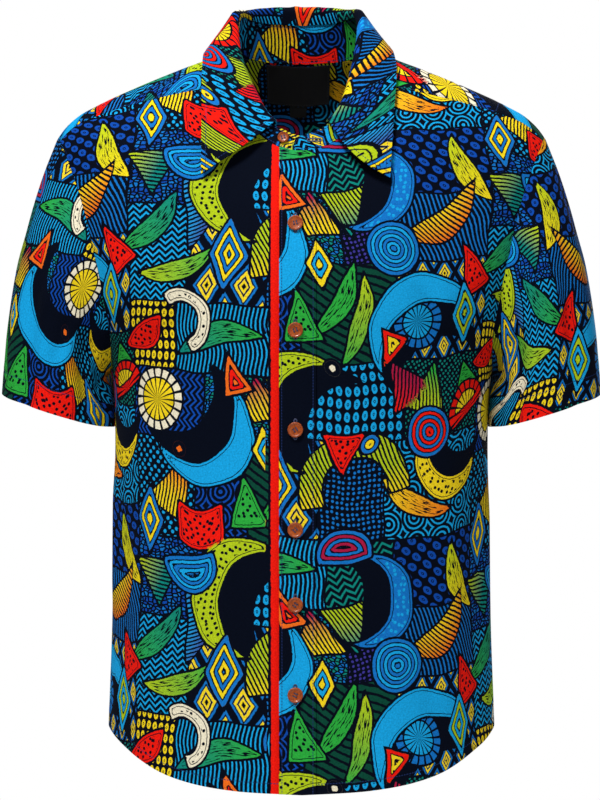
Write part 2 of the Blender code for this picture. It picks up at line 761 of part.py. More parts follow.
def inside_back(x, below):
    """Points inside the yoke, that far below the neck seam along the cloth, and their inward direction."""
    across, start = neck_seam(np.degrees(np.arcsin(x / NECK_HALF_WIDTH)))
    along = np.zeros_like(x)
    for spot in np.ndindex(x.shape):
        line = start[spot] - np.linspace(0, 0.4, 200)
        steps = np.linalg.norm(np.diff(torso(across[spot], line), axis=0), axis=1)
        along[spot] = np.interp(below[spot], np.append(0, np.cumsum(steps)), line)
    return cloth(across, along)


def make_label(name, width, start, length, columns, rows):
    x, below = np.meshgrid(
        np.linspace(LABEL_MIDDLE - width / 2, LABEL_MIDDLE + width / 2, columns + 1),
        np.linspace(start, start + length, rows + 1),
    )
    points, facing = inside_back(x, below)
    points = points - facing * (CLOTH + 3 * GAP)
    wall(name, points, facing, LABEL_CLOTH, "label_satin")


def button_mesh(radius):
    """A dished button with a raised rim, its back at z = 0."""
    shell = bmesh.new()
    bmesh.ops.create_cone(
        shell, cap_ends=True, segments=BUTTON_SIDES, radius1=radius * 0.93, radius2=radius, depth=BUTTON_THICKNESS
    )
    bmesh.ops.translate(shell, verts=shell.verts[:], vec=(0, 0, BUTTON_THICKNESS / 2))
    face = max(shell.faces, key=lambda item: item.calc_center_median().z)
    bmesh.ops.inset_region(shell, faces=[face], thickness=BUTTON_RIM * 0.5)
    bmesh.ops.inset_region(shell, faces=[face], thickness=BUTTON_RIM * 0.5, depth=-BUTTON_DISH)
    mesh = bpy.data.meshes.new("button")
    shell.to_mesh(mesh)
    shell.free()
    return mesh


def holes_mesh():
    """The four thread holes, as pins that cut them."""
    shell = bmesh.new()
    for quarter in range(4):
        angle = math.radians(45 + 90 * quarter)
        place = Vector((math.cos(angle), math.sin(angle), 0)) * BUTTON_HOLE_SPREAD
        move = Matrix.Translation(place + Vector((0, 0, BUTTON_THICKNESS / 2)))
        bmesh.ops.create_cone(
            shell,
            cap_ends=True,
            segments=6,
            radius1=BUTTON_HOLE_RADIUS,
            radius2=BUTTON_HOLE_RADIUS,
            depth=BUTTON_THICKNESS * 2,
            matrix=move,
        )
    mesh = bpy.data.meshes.new("button_holes")
    shell.to_mesh(mesh)
    shell.free()
    return mesh


def make_button(name, radius, place, facing, tilt):
    mesh = button_mesh(radius)
    mesh.materials.append(MATERIALS["coconut_shell"])
    piece = bpy.data.objects.new(name, mesh)
    SHIRT.objects.link(piece)
    turn = Vector(facing).to_track_quat("Z", "Y").to_matrix().to_4x4() @ Matrix.Rotation(tilt, 4, "Z")
    piece.matrix_world = Matrix.Translation(Vector(place)) @ turn
    cutter = bpy.data.objects.new(name + "_holes", holes_mesh())
    CUTTERS.objects.link(cutter)
    cutter.matrix_world = piece.matrix_world
    cutter.hide_render = True
    cutter.display_type = "WIRE"
    cut = piece.modifiers.new("holes", "BOOLEAN")
    cut.operation = "DIFFERENCE"
    cut.object = cutter
    piece.data.shade_smooth()
    piece.data.set_sharp_from_angle(angle=math.radians(35))


def make_buttons():
    """Six buttons down the placket, and the neck button on the open stand."""
    lift = LAYER + GAP + COLLAR_CLOTH + 0.45 * MM
    for number, level in enumerate(BUTTON_LEVELS, start=1):
        along = 1 + (CHEST_MIDDLE - level) / (CHEST_MIDDLE - HEM[0][1])
        if level > CHEST_MIDDLE:
            along = math.acos((level - CHEST_MIDDLE) / (RIDGE[0][1] - CHEST_MIDDLE)) / (math.pi / 2)
        along = np.array(along)
        place, facing = cloth(at_x(BUTTON_LINE, along), along, lift)
        make_button(f"button_{number}", BUTTON_RADIUS, place, facing, math.radians(11 * number))
    around, up = np.array(float(NECK_BUTTON_TURN)), np.array(0.55)
    facing = stand_facing(around, up)
    place = stand_sheet(around, up) + facing * 0.45 * MM
    make_button("button_neck", NECK_BUTTON_RADIUS, place, facing, math.radians(20))


for old in list(bpy.data.objects):
    bpy.data.objects.remove(old, do_unlink=True)
SHIRT = bpy.data.collections.new("shirt")
CUTTERS = bpy.data.collections.new("cutters")
bpy.context.scene.collection.children.link(SHIRT)
bpy.context.scene.collection.children.link(CUTTERS)
MATERIALS = make_materials()

make_front("front_left", 1)
make_front("front_right", -1)
make_placket()
make_back()
make_yoke()
make_sleeve("sleeve_left", 1)
make_sleeve("sleeve_right", -1)
make_stand()
make_leaf()
make_label("neck_label", LABEL_WIDTH, 1.5 * MM, LABEL_LENGTH, 5, 4)
make_label("size_tab", TAB_WIDTH, 1.5 * MM + LABEL_LENGTH + GAP * 1.8, TAB_LENGTH, 2, 1)
make_buttons()
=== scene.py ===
# %% [markdown]
# # A short-sleeved shirt of african print cotton
# The shirt is sewn from flat pieces of one printed cloth and shown filled out as if worn. Its solids are already
# packed, so this script only dresses them: each solid's plain wall gives way to a thin cloth shell on the same
# form, with creases, stitching and a print. Lengths are in metres, the fronts face -Y, and +X is the wearer's left.

# %% Start
import math

import bmesh
import bpy
import numpy as np
from mathutils import Matrix, Vector


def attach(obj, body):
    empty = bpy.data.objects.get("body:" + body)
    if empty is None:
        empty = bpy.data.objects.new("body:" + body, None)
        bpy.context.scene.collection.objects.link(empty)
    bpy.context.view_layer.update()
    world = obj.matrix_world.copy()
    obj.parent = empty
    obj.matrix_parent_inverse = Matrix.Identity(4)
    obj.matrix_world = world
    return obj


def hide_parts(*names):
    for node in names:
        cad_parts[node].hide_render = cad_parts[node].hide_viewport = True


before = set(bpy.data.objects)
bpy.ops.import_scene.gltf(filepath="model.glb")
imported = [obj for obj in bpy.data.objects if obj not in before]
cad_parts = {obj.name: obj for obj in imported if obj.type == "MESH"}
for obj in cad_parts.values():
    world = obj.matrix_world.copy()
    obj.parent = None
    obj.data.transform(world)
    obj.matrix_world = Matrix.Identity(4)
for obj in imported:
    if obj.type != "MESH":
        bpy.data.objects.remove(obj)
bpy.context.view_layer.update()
MM = 0.001

# %% [markdown]
# ## Camera
# A catalogue photographer stands well back, level with the middle of the shirt, so that near and far parts keep
# their size. A long lens at five metres does the same, and one pixel of the frame then covers 1.03 mm of cloth.

# %% Camera
FRAME_HEIGHT = 800
PIXEL = 1.03 * MM
CAMERA_DISTANCE, CAMERA_LEVEL = 5.0, -0.348
PIXELS_ASIDE = -1.5
SENSOR = 24.0
eye = bpy.data.cameras.new("camera")
eye.sensor_fit = "VERTICAL"
eye.sensor_height = SENSOR
eye.lens = SENSOR * CAMERA_DISTANCE / (FRAME_HEIGHT * PIXEL)
eye.shift_x = PIXELS_ASIDE / FRAME_HEIGHT
camera = bpy.data.objects.new("camera", eye)
camera.location = (0, -CAMERA_DISTANCE, CAMERA_LEVEL)
camera.rotation_euler = (math.pi / 2, 0, 0)
bpy.context.collection.objects.link(camera)
bpy.context.scene.camera = camera
bpy.context.scene.view_settings.view_transform = "Standard"
print("lens:", round(eye.lens, 1), "mm")

# %% [markdown]
# ## Studio
# Printed cotton is matt, so soft lights show its colours best. The key stands high in front, so that the collar and
# the folds throw short shadows down the cloth. A weak fill comes from the other side, and a little light from above
# and behind. The room itself is white and gives the rest. The camera sees it at full white, while the cloth gets
# less of it, which keeps some shade in the folds.

# %% Studio
LIGHTS = (
    # name, place, size, watts
    ("key", (-1.1, -2.2, 3.3), 1.0, 240),
    ("fill", (2.3, -3.0, 0.1), 2.4, 24),
    ("top", (0.2, 0.4, 2.4), 2.0, 18),
    ("behind", (0.6, 3.4, 0.8), 2.6, 60),
)
SHIRT_MIDDLE = Vector((0, 0, -0.35))
for name, place, size, watts in LIGHTS:
    lamp = bpy.data.lights.new(name, "AREA")
    lamp.size = size
    lamp.energy = watts
    light = bpy.data.objects.new(name, lamp)
    aim = SHIRT_MIDDLE - Vector(place)
    light.matrix_world = Matrix.Translation(place) @ aim.to_track_quat("-Z", "Y").to_matrix().to_4x4()
    bpy.context.collection.objects.link(light)

ROOM_LIGHT = 0.24
room = bpy.data.worlds.new("white_room")
room.use_nodes = True
bpy.context.scene.world = room
room_nodes, room_links = room.node_tree.nodes, room.node_tree.links
seen = room_nodes.new("ShaderNodeLightPath")
strength = room_nodes.new("ShaderNodeMapRange")
strength.inputs["To Min"].default_value = ROOM_LIGHT
room_nodes["Background"].inputs["Color"].default_value = (1, 1, 1, 1)
room_links.new(seen.outputs["Is Camera Ray"], strength.inputs["Value"])
room_links.new(strength.outputs["Result"], room_nodes["Background"].inputs["Strength"])

FLOOR_RADIUS, FLOOR_LEVEL = 1.5, -1.25


def as_mesh(shape, name):
    """A mesh of that name from an edit mesh, which is freed."""
    mesh = bpy.data.meshes.new(name)
    shape.to_mesh(mesh)
    shape.free()
    return mesh


floor_mesh = bmesh.new()
bmesh.ops.create_circle(floor_mesh, cap_ends=True, segments=96, radius=FLOOR_RADIUS)
bmesh.ops.translate(floor_mesh, verts=floor_mesh.verts[:], vec=(0, 0, FLOOR_LEVEL))
floor = bpy.data.objects.new("floor", as_mesh(floor_mesh, "floor"))
bpy.context.collection.objects.link(floor)
print("lights:", [row[0] for row in LIGHTS])

# %% [markdown]
# ## Small tools
# A form that changes from place to place is easiest to keep as a short table of measures. `through` draws a smooth
# curve past them, and everything below reads its tables with it.

# %% Tools
def column(table, index):
    """One column of a table, as an array."""
    return np.array([row[index] for row in table], float)


def through(knots, values, at):
    """A smooth curve through the values at the knots, read at the places in at."""
    order = np.argsort(knots)
    knots, values = knots[order], values[order]
    slopes = np.gradient(values, knots)
    at = np.clip(at, knots[0], knots[-1])
    low = np.clip(np.searchsorted(knots, at, side="right") - 1, 0, len(knots) - 2)
    span = knots[low + 1] - knots[low]
    t = (at - knots[low]) / span
    start = values[low] * (1 + 2 * t) + slopes[low] * span * t
    end = values[low + 1] * (3 - 2 * t) - slopes[low + 1] * span * (1 - t)
    return start * (1 - t) ** 2 + end * t**2


def read(table, index, at):
    """A table's column, smoothed over its first column."""
    return through(column(table, 0), column(table, index), at)


def ease(t):
    """0 to 1 with level ends."""
    t = np.clip(t, 0, 1)
    return t * t * (3 - 2 * t)


def unit(vectors):
    return vectors / np.maximum(np.linalg.norm(vectors, axis=-1, keepdims=True), 1e-12)


def stack(x, y, z):
    return np.stack(np.broadcast_arrays(x, y, z), axis=-1).astype(float)


# %% [markdown]
# ## The body form
# Under every piece lies one smooth form, the one that the solids were made on. `across` runs from -1 at the
# wearer's right side seam to 1 at the left, and `along` from 0 on the ridge of the shoulders to 1 at the chest and
# 2 at the hem, with the back as its negative. Using the same tables puts each shell exactly on its solid.

# %% Body measures
CLOTH = 1.4 * MM
GAP = 0.3 * MM
LAYER = CLOTH + 0.5 * MM
BODY = (
    # level, half_width, front, back
    (-0.760, 0.2008, 0.1450, 0.1420),
    (-0.680, 0.1985, 0.1440, 0.1410),
    (-0.575, 0.1948, 0.1420, 0.1380),
    (-0.480, 0.1930, 0.1400, 0.1350),
    (-0.380, 0.1918, 0.1385, 0.1320),
    (-0.350, 0.1925, 0.1380, 0.1310),
    (-0.320, 0.1962, 0.1378, 0.1305),
    (-0.290, 0.2055, 0.1375, 0.1300),
    (-0.243, 0.2262, 0.1370, 0.1290),
    (-0.200, 0.2412, 0.1360, 0.1280),
)
RIDGE = (
    # x, level
    (0.000, 0.058),
    (0.020, 0.053),
    (0.040, 0.039),
    (0.060, 0.022),
    (0.080, 0.010),
    (0.095, 0.0035),
    (0.125, -0.0080),
    (0.145, -0.0160),
    (0.170, -0.0265),
    (0.211, -0.0455),
    (0.231, -0.0570),
    (0.2445, -0.0700),
    (0.258, -0.0900),
)
HEM = (
    # across, level
    (0.00, -0.7435),
    (0.25, -0.7393),
    (0.37, -0.7342),
    (0.51, -0.7242),
    (0.62, -0.7128),
    (0.76, -0.6988),
    (0.90, -0.6856),
    (1.00, -0.6810),
)
SHOULDER_TIP = 0.250
SHOULDER_TURN = math.radians(61)
CHEST_MIDDLE, BLADES_MIDDLE, ARMHOLE_MIDDLE = -0.270, -0.220, -0.200
ARMHOLE_FALL, ARMHOLE_DEPTH = 0.120, 0.066
NECK_HOLLOW_FRONT, NECK_HOLLOW_BACK, NECK_HOLLOW_REACH = 0.95, 0.5, 0.45


# %% Body form
def chest_level(across, back):
    """Where the rounding of the shoulders ends and the body falls straight."""
    middle = np.where(back, BLADES_MIDDLE, CHEST_MIDDLE)
    return middle + (ARMHOLE_MIDDLE - middle) * np.minimum(across**2, 1.1)


def size_at(level, back):
    """Half the body's width at that level, and its depth."""
    return read(BODY, 1, level), np.where(back, read(BODY, 3, level), read(BODY, 2, level))


def body_turn(across, level, back):
    """How far round its section at that level the body has turned from the middle."""
    fall = np.clip((ARMHOLE_MIDDLE - level) / ARMHOLE_FALL, 0, 1)
    edge = np.arccos(ARMHOLE_DEPTH * np.sqrt(1 - fall**2) / size_at(level, back)[1])
    soft = SHOULDER_TURN + (math.pi / 2 - SHOULDER_TURN) * ease(fall / 1.15)
    return across * soft + (edge - soft) * np.abs(across) ** 4 * across


def body_level(across, along):
    """Level of the section a point belongs to."""
    chest = chest_level(across, along < 0)
    hem = read(HEM, 1, np.abs(across))
    return chest + (hem - chest) * np.clip(np.abs(along) - 1, 0, 1)


def ridge_at(across):
    """x and level of the ridge of the shoulders."""
    x = SHOULDER_TIP * np.sin(across * SHOULDER_TURN) / math.sin(SHOULDER_TURN)
    return x, read(RIDGE, 1, np.abs(x))


def neck_power(across, back):
    """How much the form is hollowed beside the neck, as a power of its fall from the ridge."""
    hollow = np.where(back, NECK_HOLLOW_BACK, NECK_HOLLOW_FRONT)
    return 1 + hollow * (1 - ease(np.abs(across) / NECK_HOLLOW_REACH))


def torso(across, along):
    """Points of the smooth body form."""
    back = along < 0
    level = body_level(across, along)
    round_body = body_turn(across, level, back)
    half_width, depth = size_at(level, back)
    x, y = half_width * np.sin(round_body), depth * np.cos(round_body)
    turn = np.clip(np.abs(along), 0, 1) * math.pi / 2
    rise = np.cos(turn)
    ridge_x, ridge_level = ridge_at(across)
    x = x + (ridge_x - x) * (0.6 * rise + 0.4 * rise**2.2)
    y = y * np.sin(turn) ** neck_power(across, back) * np.where(back, 1, -1)
    z = level + (ridge_level - level) * rise
    return stack(x, y, z)


def torso_facing(across, along):
    """Outward normals of the body form."""
    step = 1e-3
    sideways = torso(across + step, along) - torso(across - step, along)
    upward = torso(across, along - step) - torso(across, along + step)
    rounded = unit(np.cross(sideways, upward))
    back = along < 0
    level = body_level(across, along)
    turn = body_turn(across, level, back)
    half_width, depth = size_at(level, back)
    flare, swell = (a - b for a, b in zip(size_at(level + step, back), size_at(level - step, back)))
    rising = -(half_width * swell * np.cos(turn) ** 2 + depth * flare * np.sin(turn) ** 2) / (2 * step)
    straight = stack(depth * np.sin(turn), half_width * np.cos(turn) * np.where(back, 1, -1), rising)
    return np.where((np.abs(along) > 1)[..., None], unit(straight), rounded)


print("chest depth:", round(float(-torso(np.zeros(1), np.ones(1))[0, 1]), 3), "m in front")

# %% [markdown]
# ## Folds and creases
# Cotton poplin is crisp. Worn, it falls in long soft folds below the chest and the blades, and pulls into short
# creases from the armpits, beside the buttons and above the hem. Each is one row of a table: a line on the cloth, how
# wide it is and how far it stands out or in. They were placed one by one and no two are alike, because even spacing
# is what makes cloth look false. The first table is the solids' own, and the second adds the finer ones.

# %% Creases
BODY_FOLDS = (
    # turn, top, bottom, half_width, height, lean
    (58, -0.330, -0.700, 0.022, 0.0030, 0.020),
    (72, -0.400, -0.760, 0.020, -0.0030, -0.012),
    (-60, -0.320, -0.720, 0.024, 0.0028, -0.018),
    (-74, -0.430, -0.760, 0.020, -0.0028, 0.010),
    (46, -0.160, -0.340, 0.016, -0.0030, 0.020),
    (-46, -0.150, -0.330, 0.016, -0.0028, -0.020),
    (118, -0.280, -0.720, 0.026, 0.0040, 0.020),
    (150, -0.340, -0.760, 0.030, -0.0035, 0.010),
    (-122, -0.300, -0.700, 0.026, 0.0038, -0.016),
    (-156, -0.360, -0.760, 0.030, -0.0032, -0.014),
)
CREASES = (
    # turn and level of one end, of the other, half width and height in mm
    (64, -0.292, 38, -0.206, 8, 1.5),
    (68, -0.312, 42, -0.262, 7, -1.3),
    (66, -0.334, 50, -0.372, 9, 1.2),
    (-63, -0.286, -40, -0.196, 9, 1.7),
    (-67, -0.308, -38, -0.250, 7, -1.2),
    (-66, -0.330, -44, -0.352, 8, 1.3),
    (-58, -0.205, -44, -0.140, 9, -1.1),
    (57, -0.210, 46, -0.150, 8, -1.0),
    (6, -0.275, 24, -0.262, 6, 0.6),
    (7, -0.382, 26, -0.392, 7, 0.6),
    (7, -0.556, 30, -0.540, 8, 0.7),
    (-9, -0.300, -26, -0.318, 7, 0.6),
    (-10, -0.478, -30, -0.466, 8, 0.7),
    (-10, -0.640, -27, -0.664, 8, 0.6),
    (34, -0.430, 44, -0.640, 15, 1.4),
    (22, -0.560, 26, -0.740, 14, -1.1),
    (-32, -0.470, -38, -0.700, 16, 1.3),
    (-18, -0.600, -16, -0.740, 13, -1.0),
    (48, -0.600, 55, -0.720, 12, -1.2),
    (-50, -0.560, -56, -0.720, 13, -1.3),
    (84, -0.410, 80, -0.620, 12, 1.5),
    (-86, -0.400, -82, -0.580, 12, 1.6),
    (96, -0.420, 104, -0.690, 13, -1.6),
    (-98, -0.460, -104, -0.690, 13, -1.5),
    (116, -0.300, 150, -0.214, 10, 1.7),
    (112, -0.330, 142, -0.286, 8, -1.4),
    (-118, -0.296, -152, -0.222, 9, 1.6),
    (-113, -0.326, -140, -0.276, 8, -1.4),
    (176, -0.130, 171, -0.420, 13, 1.5),
    (-166, -0.126, -172, -0.330, 11, -1.2),
    (158, -0.140, 164, -0.360, 12, 1.2),
    (-136, -0.420, -144, -0.700, 15, 1.6),
    (134, -0.470, 139, -0.720, 14, -1.4),
    (178, -0.500, -174, -0.740, 17, 1.7),
)
CREASE_DEPTH, SLEEVE_CREASE_DEPTH = 1.6, 1.9
FOLD_RADIUS, TURN_LENGTH = 0.16, 2.8  # radius of the body in m, and mm of cloth in one degree round it


def nearest_turn(degrees):
    """The same turn, between -180 and 180 degrees."""
    return (degrees + 180) % 360 - 180


def ridge(spot, along, half_width):
    """Height, from 0 to 1, of a crease that runs from the origin along a line, at spots on the flat cloth."""
    share = np.clip(spot @ along / (along @ along), 0, 1)
    off = np.linalg.norm(spot - share[..., None] * along, axis=-1)
    return ease(share * 3 + 0.1) * ease((1 - share) * 3 + 0.1) * np.exp(-((off / half_width) ** 2))


def body_folds(points):
    """How far the cloth stands out from the smooth form at these points."""
    turn = np.degrees(np.arctan2(points[..., 0], -points[..., 1]))
    level = points[..., 2]
    height = np.zeros(turn.shape)
    for middle, top, bottom, half_width, out, lean in BODY_FOLDS:
        run = (top - level) / (top - bottom)
        offset = np.radians(nearest_turn(turn - middle)) * FOLD_RADIUS - lean * np.clip(run, 0, 1)
        span = ease(run * 4) * ease((1 - run) * 4)
        height += out * span * np.exp(-((offset / half_width) ** 2))
    for turn_a, level_a, turn_b, level_b, half_width, out in CREASES:
        along = np.array((nearest_turn(turn_b - turn_a) * TURN_LENGTH, (level_b - level_a) / MM))
        spot = np.stack((nearest_turn(turn - turn_a) * TURN_LENGTH, (level - level_a) / MM), axis=-1)
        height += CREASE_DEPTH * out * MM * ridge(spot, along, half_width)
    return height


def cloth(across, along, lift=0.0):
    """The body's outer face with its folds, and its outward normals."""
    across, along = np.broadcast_arrays(np.asarray(across, float), np.asarray(along, float))
    points = torso(across, along)
    facing = torso_facing(across, along)
    lift = np.asarray(lift, float) + body_folds(points)
    return points + facing * lift[..., None], facing


print("folds:", len(BODY_FOLDS), "creases:", len(CREASES))

# %% [markdown]
# ## From a place on the form to a place on the flat cloth
# The print was on the cloth before it was cut, so it must not stretch where the form bulges. Each point is given
# its place on the flat cloth in millimetres, measured over the form as with a tape: sideways from the middle, and
# up or down from the chest. Sleeves and collar are measured along their own rows and columns.

# %% Cloth places
def tape(points, axis):
    """Length along one axis of a sheet of points, from its start."""
    steps = np.linalg.norm(np.diff(points, axis=axis), axis=-1) / MM
    return np.insert(np.cumsum(steps, axis=axis), 0, 0, axis=axis)


def body_place(across, along, from_back=False):
    """Places on the flat cloth of points of the body, in mm."""
    share = np.linspace(0, 1, 33).reshape(-1, *[1] * across.ndim)
    sideways = tape(torso(across * share, np.broadcast_to(along, across.shape) + 0 * share), 0)[-1]
    side = np.where((along < 0) | from_back, -1.0, 1.0)
    lengthways = tape(torso(across + 0 * share, side + (along - side) * share), 0)[-1]
    upward = np.where(along * side < 1, 1, -1)
    chest = chest_level(across, side < 0) / MM
    return np.stack((sideways * np.sign(across), chest + lengthways * upward), axis=-1)


def sheet_place(points, middle_column, middle_row=0):
    """Places on the flat cloth of a sheet of points, measured along its own rows and columns, in mm."""
    sideways, down = tape(points, 1), tape(points, 0)
    sideways = sideways - sideways[:, middle_column : middle_column + 1]
    return np.stack((sideways, down[middle_row] - down), axis=-1)


# %% [markdown]
# ## The print
# African wax and fancy prints are bold patchworks: blocks of fine pattern in many colours, with large crescents,
# leaves, discs and fans over them, all drawn with a dark line. Nothing here is taken from one cloth. It could be
# painted as an image, but a recipe stays sharp at any size. So the cloth keeps, for each kind of filling, where a
# point lies in the nearest motif of that kind, and the material draws the filling from it. A motif is one row below,
# on a tile of cloth that repeats half a step lower in each next column, as on a printing screen.

# %% Print: inks
def linear(hex_colour):
    """An sRGB hex colour as linear red, green, blue and alpha."""
    parts = [int(hex_colour[start : start + 2], 16) / 255 for start in (0, 2, 4)]
    flat = [part / 12.92 if part <= 0.04045 else ((part + 0.055) / 1.055) ** 2.4 for part in parts]
    return (*flat, 1.0)


INKS = {
    "ink": "050a18",
    "blue": "1470c0",
    "deep": "0f48a6",
    "sky": "169fdc",
    "teal": "0d8076",
    "pine": "0a4434",
    "green": "2ba53c",
    "yellow": "f0d21e",
    "lime": "aec41c",
    "orange": "ea6a1c",
    "red": "ec1a0e",
    "crimson": "a81a40",
    "purple": "3c3690",
    "cream": "ebe2c6",
}
INKS = {name: linear(colour) for name, colour in INKS.items()}

# %% Print: motifs
TILE_WIDTH, TILE_HEIGHT = 340.0, 420.0
OVER_BLOCKS = ("leaf", "hatch", "fan", "spots", "echo")
FILLINGS = ("pebbles", "dots", "stripes", "lozenges", "rings", "zigzag", "beads", *OVER_BLOCKS)
MOTIFS = (
    # filling, outline, x, y, half width and height in mm, turn in degrees, bend, scale, two inks
    ("zigzag", "box", -135, -160, 34, 49, 0, 0, 1.0, "ink", "sky"),
    ("lozenges", "box", -58, -160, 41, 49, 0, 0, 0.62, "blue", "yellow"),
    ("dots", "box", 17, -160, 32, 49, 0, 0, 1.0, "ink", "blue"),
    ("rings", "box", 110, -160, 59, 49, 8, 0, 1.0, "ink", "sky"),
    ("pebbles", "box", -121, -70, 47, 39, 0, 0, 1.0, "deep", "blue"),
    ("stripes", "box", -56, -70, 15, 39, 90, 0, 1.0, "ink", "yellow"),
    ("beads", "box", 14, -70, 51, 39, 0, 0, 1.0, "ink", "sky"),
    ("dots", "box", 118, -70, 51, 39, 30, 0, 1.2, "ink", "teal"),
    ("dots", "box", -133, 20, 36, 49, 45, 0, 0.8, "ink", "sky"),
    ("rings", "box", -68, 20, 27, 49, 0, 0, 1.0, "ink", "deep"),
    ("stripes", "box", 11, 20, 50, 49, 62, 0, 0.6, "pine", "ink"),
    ("lozenges", "box", 116, 20, 53, 49, 0, 0, 1.0, "blue", "yellow"),
    ("zigzag", "box", -124, 105, 45, 34, 90, 0, 1.0, "ink", "deep"),
    ("pebbles", "box", -34, 105, 43, 34, 0, 0, 1.25, "teal", "blue"),
    ("dots", "box", 36, 105, 25, 34, 10, 0, 1.1, "ink", "purple"),
    ("stripes", "box", 116, 105, 53, 34, 24, 0, 1.0, "ink", "blue"),
    ("beads", "box", -141, 175, 28, 34, 0, 0, 1.15, "ink", "yellow"),
    ("stripes", "box", -59, 175, 52, 34, 4, 0, 1.1, "ink", "sky"),
    ("zigzag", "box", 28, 175, 33, 34, 20, 0, 0.9, "ink", "teal"),
    ("beads", "box", 116, 175, 53, 34, 60, 0, 0.85, "ink", "deep"),
    ("leaf", "moon", 101, -28, 58, 34, 200, 0, 1.0, "ink", "ink"),
    ("leaf", "moon", -97, 101, 53, 30, 38, 0, 1.0, "ink", "ink"),
    ("leaf", "moon", -16, -91, 56, 32, 255, 0, 1.0, "ink", "ink"),
    ("leaf", "moon", 19, 154, 43, 24, 80, 0, 1.0, "ink", "ink"),
    ("leaf", "moon", 138, -113, 41, 20, 330, 0, 1.0, "ink", "ink"),
    ("leaf", "leaf", 2, 30, 46, 9, 60, 0.003, 1.0, "green", "green"),
    ("leaf", "leaf", 22, 12, 48, 9, 74, 0.003, 1.0, "green", "lime"),
    ("leaf", "leaf", -142, -136, 46, 11, 42, 0.005, 1.0, "green", "teal"),
    ("leaf", "leaf", -112, -178, 44, 10, 20, 0.006, 1.0, "lime", "green"),
    ("leaf", "leaf", 142, 160, 42, 11, 118, -0.006, 1.0, "yellow", "lime"),
    ("leaf", "leaf", -66, 180, 48, 11, 14, -0.005, 1.0, "teal", "green"),
    ("leaf", "leaf", 84, -176, 46, 10, -24, 0.006, 1.0, "yellow", "orange"),
    ("leaf", "triangle", 148, -60, 26, 20, 10, 0, 1.0, "green", "green"),
    ("hatch", "triangle", -20, 118, 27, 22, 12, 0, 1.0, "yellow", "crimson"),
    ("hatch", "triangle", 16, 122, 24, 24, 196, 0, 1.0, "lime", "teal"),
    ("hatch", "triangle", -118, 24, 26, 30, -28, 0, 1.0, "yellow", "orange"),
    ("hatch", "triangle", 66, -64, 28, 22, 150, 0, 1.0, "crimson", "red"),
    ("hatch", "triangle", 98, -58, 22, 28, -18, 0, 1.0, "lime", "green"),
    ("hatch", "triangle", -152, -66, 26, 24, 64, 0, 1.0, "teal", "lime"),
    ("hatch", "arc", 20, -158, 46, 11, 12, 0, 1.0, "yellow", "lime"),
    ("hatch", "leaf", 120, 108, 48, 15, 34, 0.007, 1.0, "orange", "yellow"),
    ("hatch", "leaf", -92, -112, 40, 13, 96, 0.009, 1.0, "purple", "sky"),
    ("fan", "disc", -134, 108, 31, 31, 0, 0, 1.0, "cream", "yellow"),
    ("fan", "disc", 84, 8, 27, 27, 0, 0, 1.0, "blue", "sky"),
    ("fan", "arch", 152, -92, 30, 3, 25, 0, 1.0, "red", "yellow"),
    ("spots", "moon", 92, -4, 62, 26, 200, 0, 1.0, "sky", "sky"),
    ("spots", "moon", -82, 82, 56, 24, 38, 0, 1.0, "sky", "sky"),
    ("spots", "moon", -42, -84, 60, 27, 255, 0, 1.0, "lime", "ink"),
    ("spots", "moon", 40, 150, 46, 21, 80, 0, 1.0, "blue", "sky"),
    ("spots", "moon", 128, -130, 44, 20, 330, 0, 1.0, "yellow", "ink"),
    ("spots", "triangle", -40, 14, 20, 26, 8, 0, 1.0, "green", "ink"),
    ("spots", "triangle", 4, -122, 22, 20, 186, 0, 1.0, "red", "ink"),
    ("spots", "triangle", 150, 60, 20, 26, 24, 0, 1.0, "red", "ink"),
    ("spots", "box", -90, -18, 25, 19, 8, 0.012, 1.0, "red", "ink"),
    ("spots", "leaf", -150, 172, 30, 13, 30, 0.01, 1.0, "red", "ink"),
    ("spots", "arc", -104, 192, 26, 6, -60, 0, 1.0, "cream", "ink"),
    ("echo", "disc", 62, 84, 27, 27, 0, 0, 1.0, "sky", "blue"),
    ("echo", "disc", 96, -104, 25, 25, 0, 0, 1.0, "red", "blue"),
    ("echo", "arch", -104, -52, 30, 6, 190, 0, 1.0, "sky", "blue"),
    ("echo", "arch", 12, 196, 28, 6, 10, 0, 1.0, "crimson", "blue"),
    ("echo", "lozenge", -152, -14, 18, 34, 0, 0, 1.0, "yellow", "blue"),
    ("echo", "lozenge", -60, -160, 20, 38, 0, 0, 1.0, "yellow", "blue"),
    ("echo", "lozenge", -16, 66, 13, 24, 0, 0, 1.0, "sky", "yellow"),
    ("echo", "lozenge", 140, 12, 17, 34, 0, 0, 1.0, "lime", "sky"),
    ("echo", "triangle", -48, 140, 15, 20, 20, 0, 1.0, "red", "orange"),
    ("echo", "triangle", 52, -20, 14, 18, 160, 0, 1.0, "yellow", "red"),
    ("echo", "disc", -110, 60, 8, 8, 0, 0, 1.0, "orange", "ink"),
    ("echo", "disc", 30, -112, 9, 9, 0, 0, 1.0, "yellow", "blue"),
    ("echo", "disc", -8, -36, 8, 8, 0, 0, 1.0, "cream", "ink"),
)


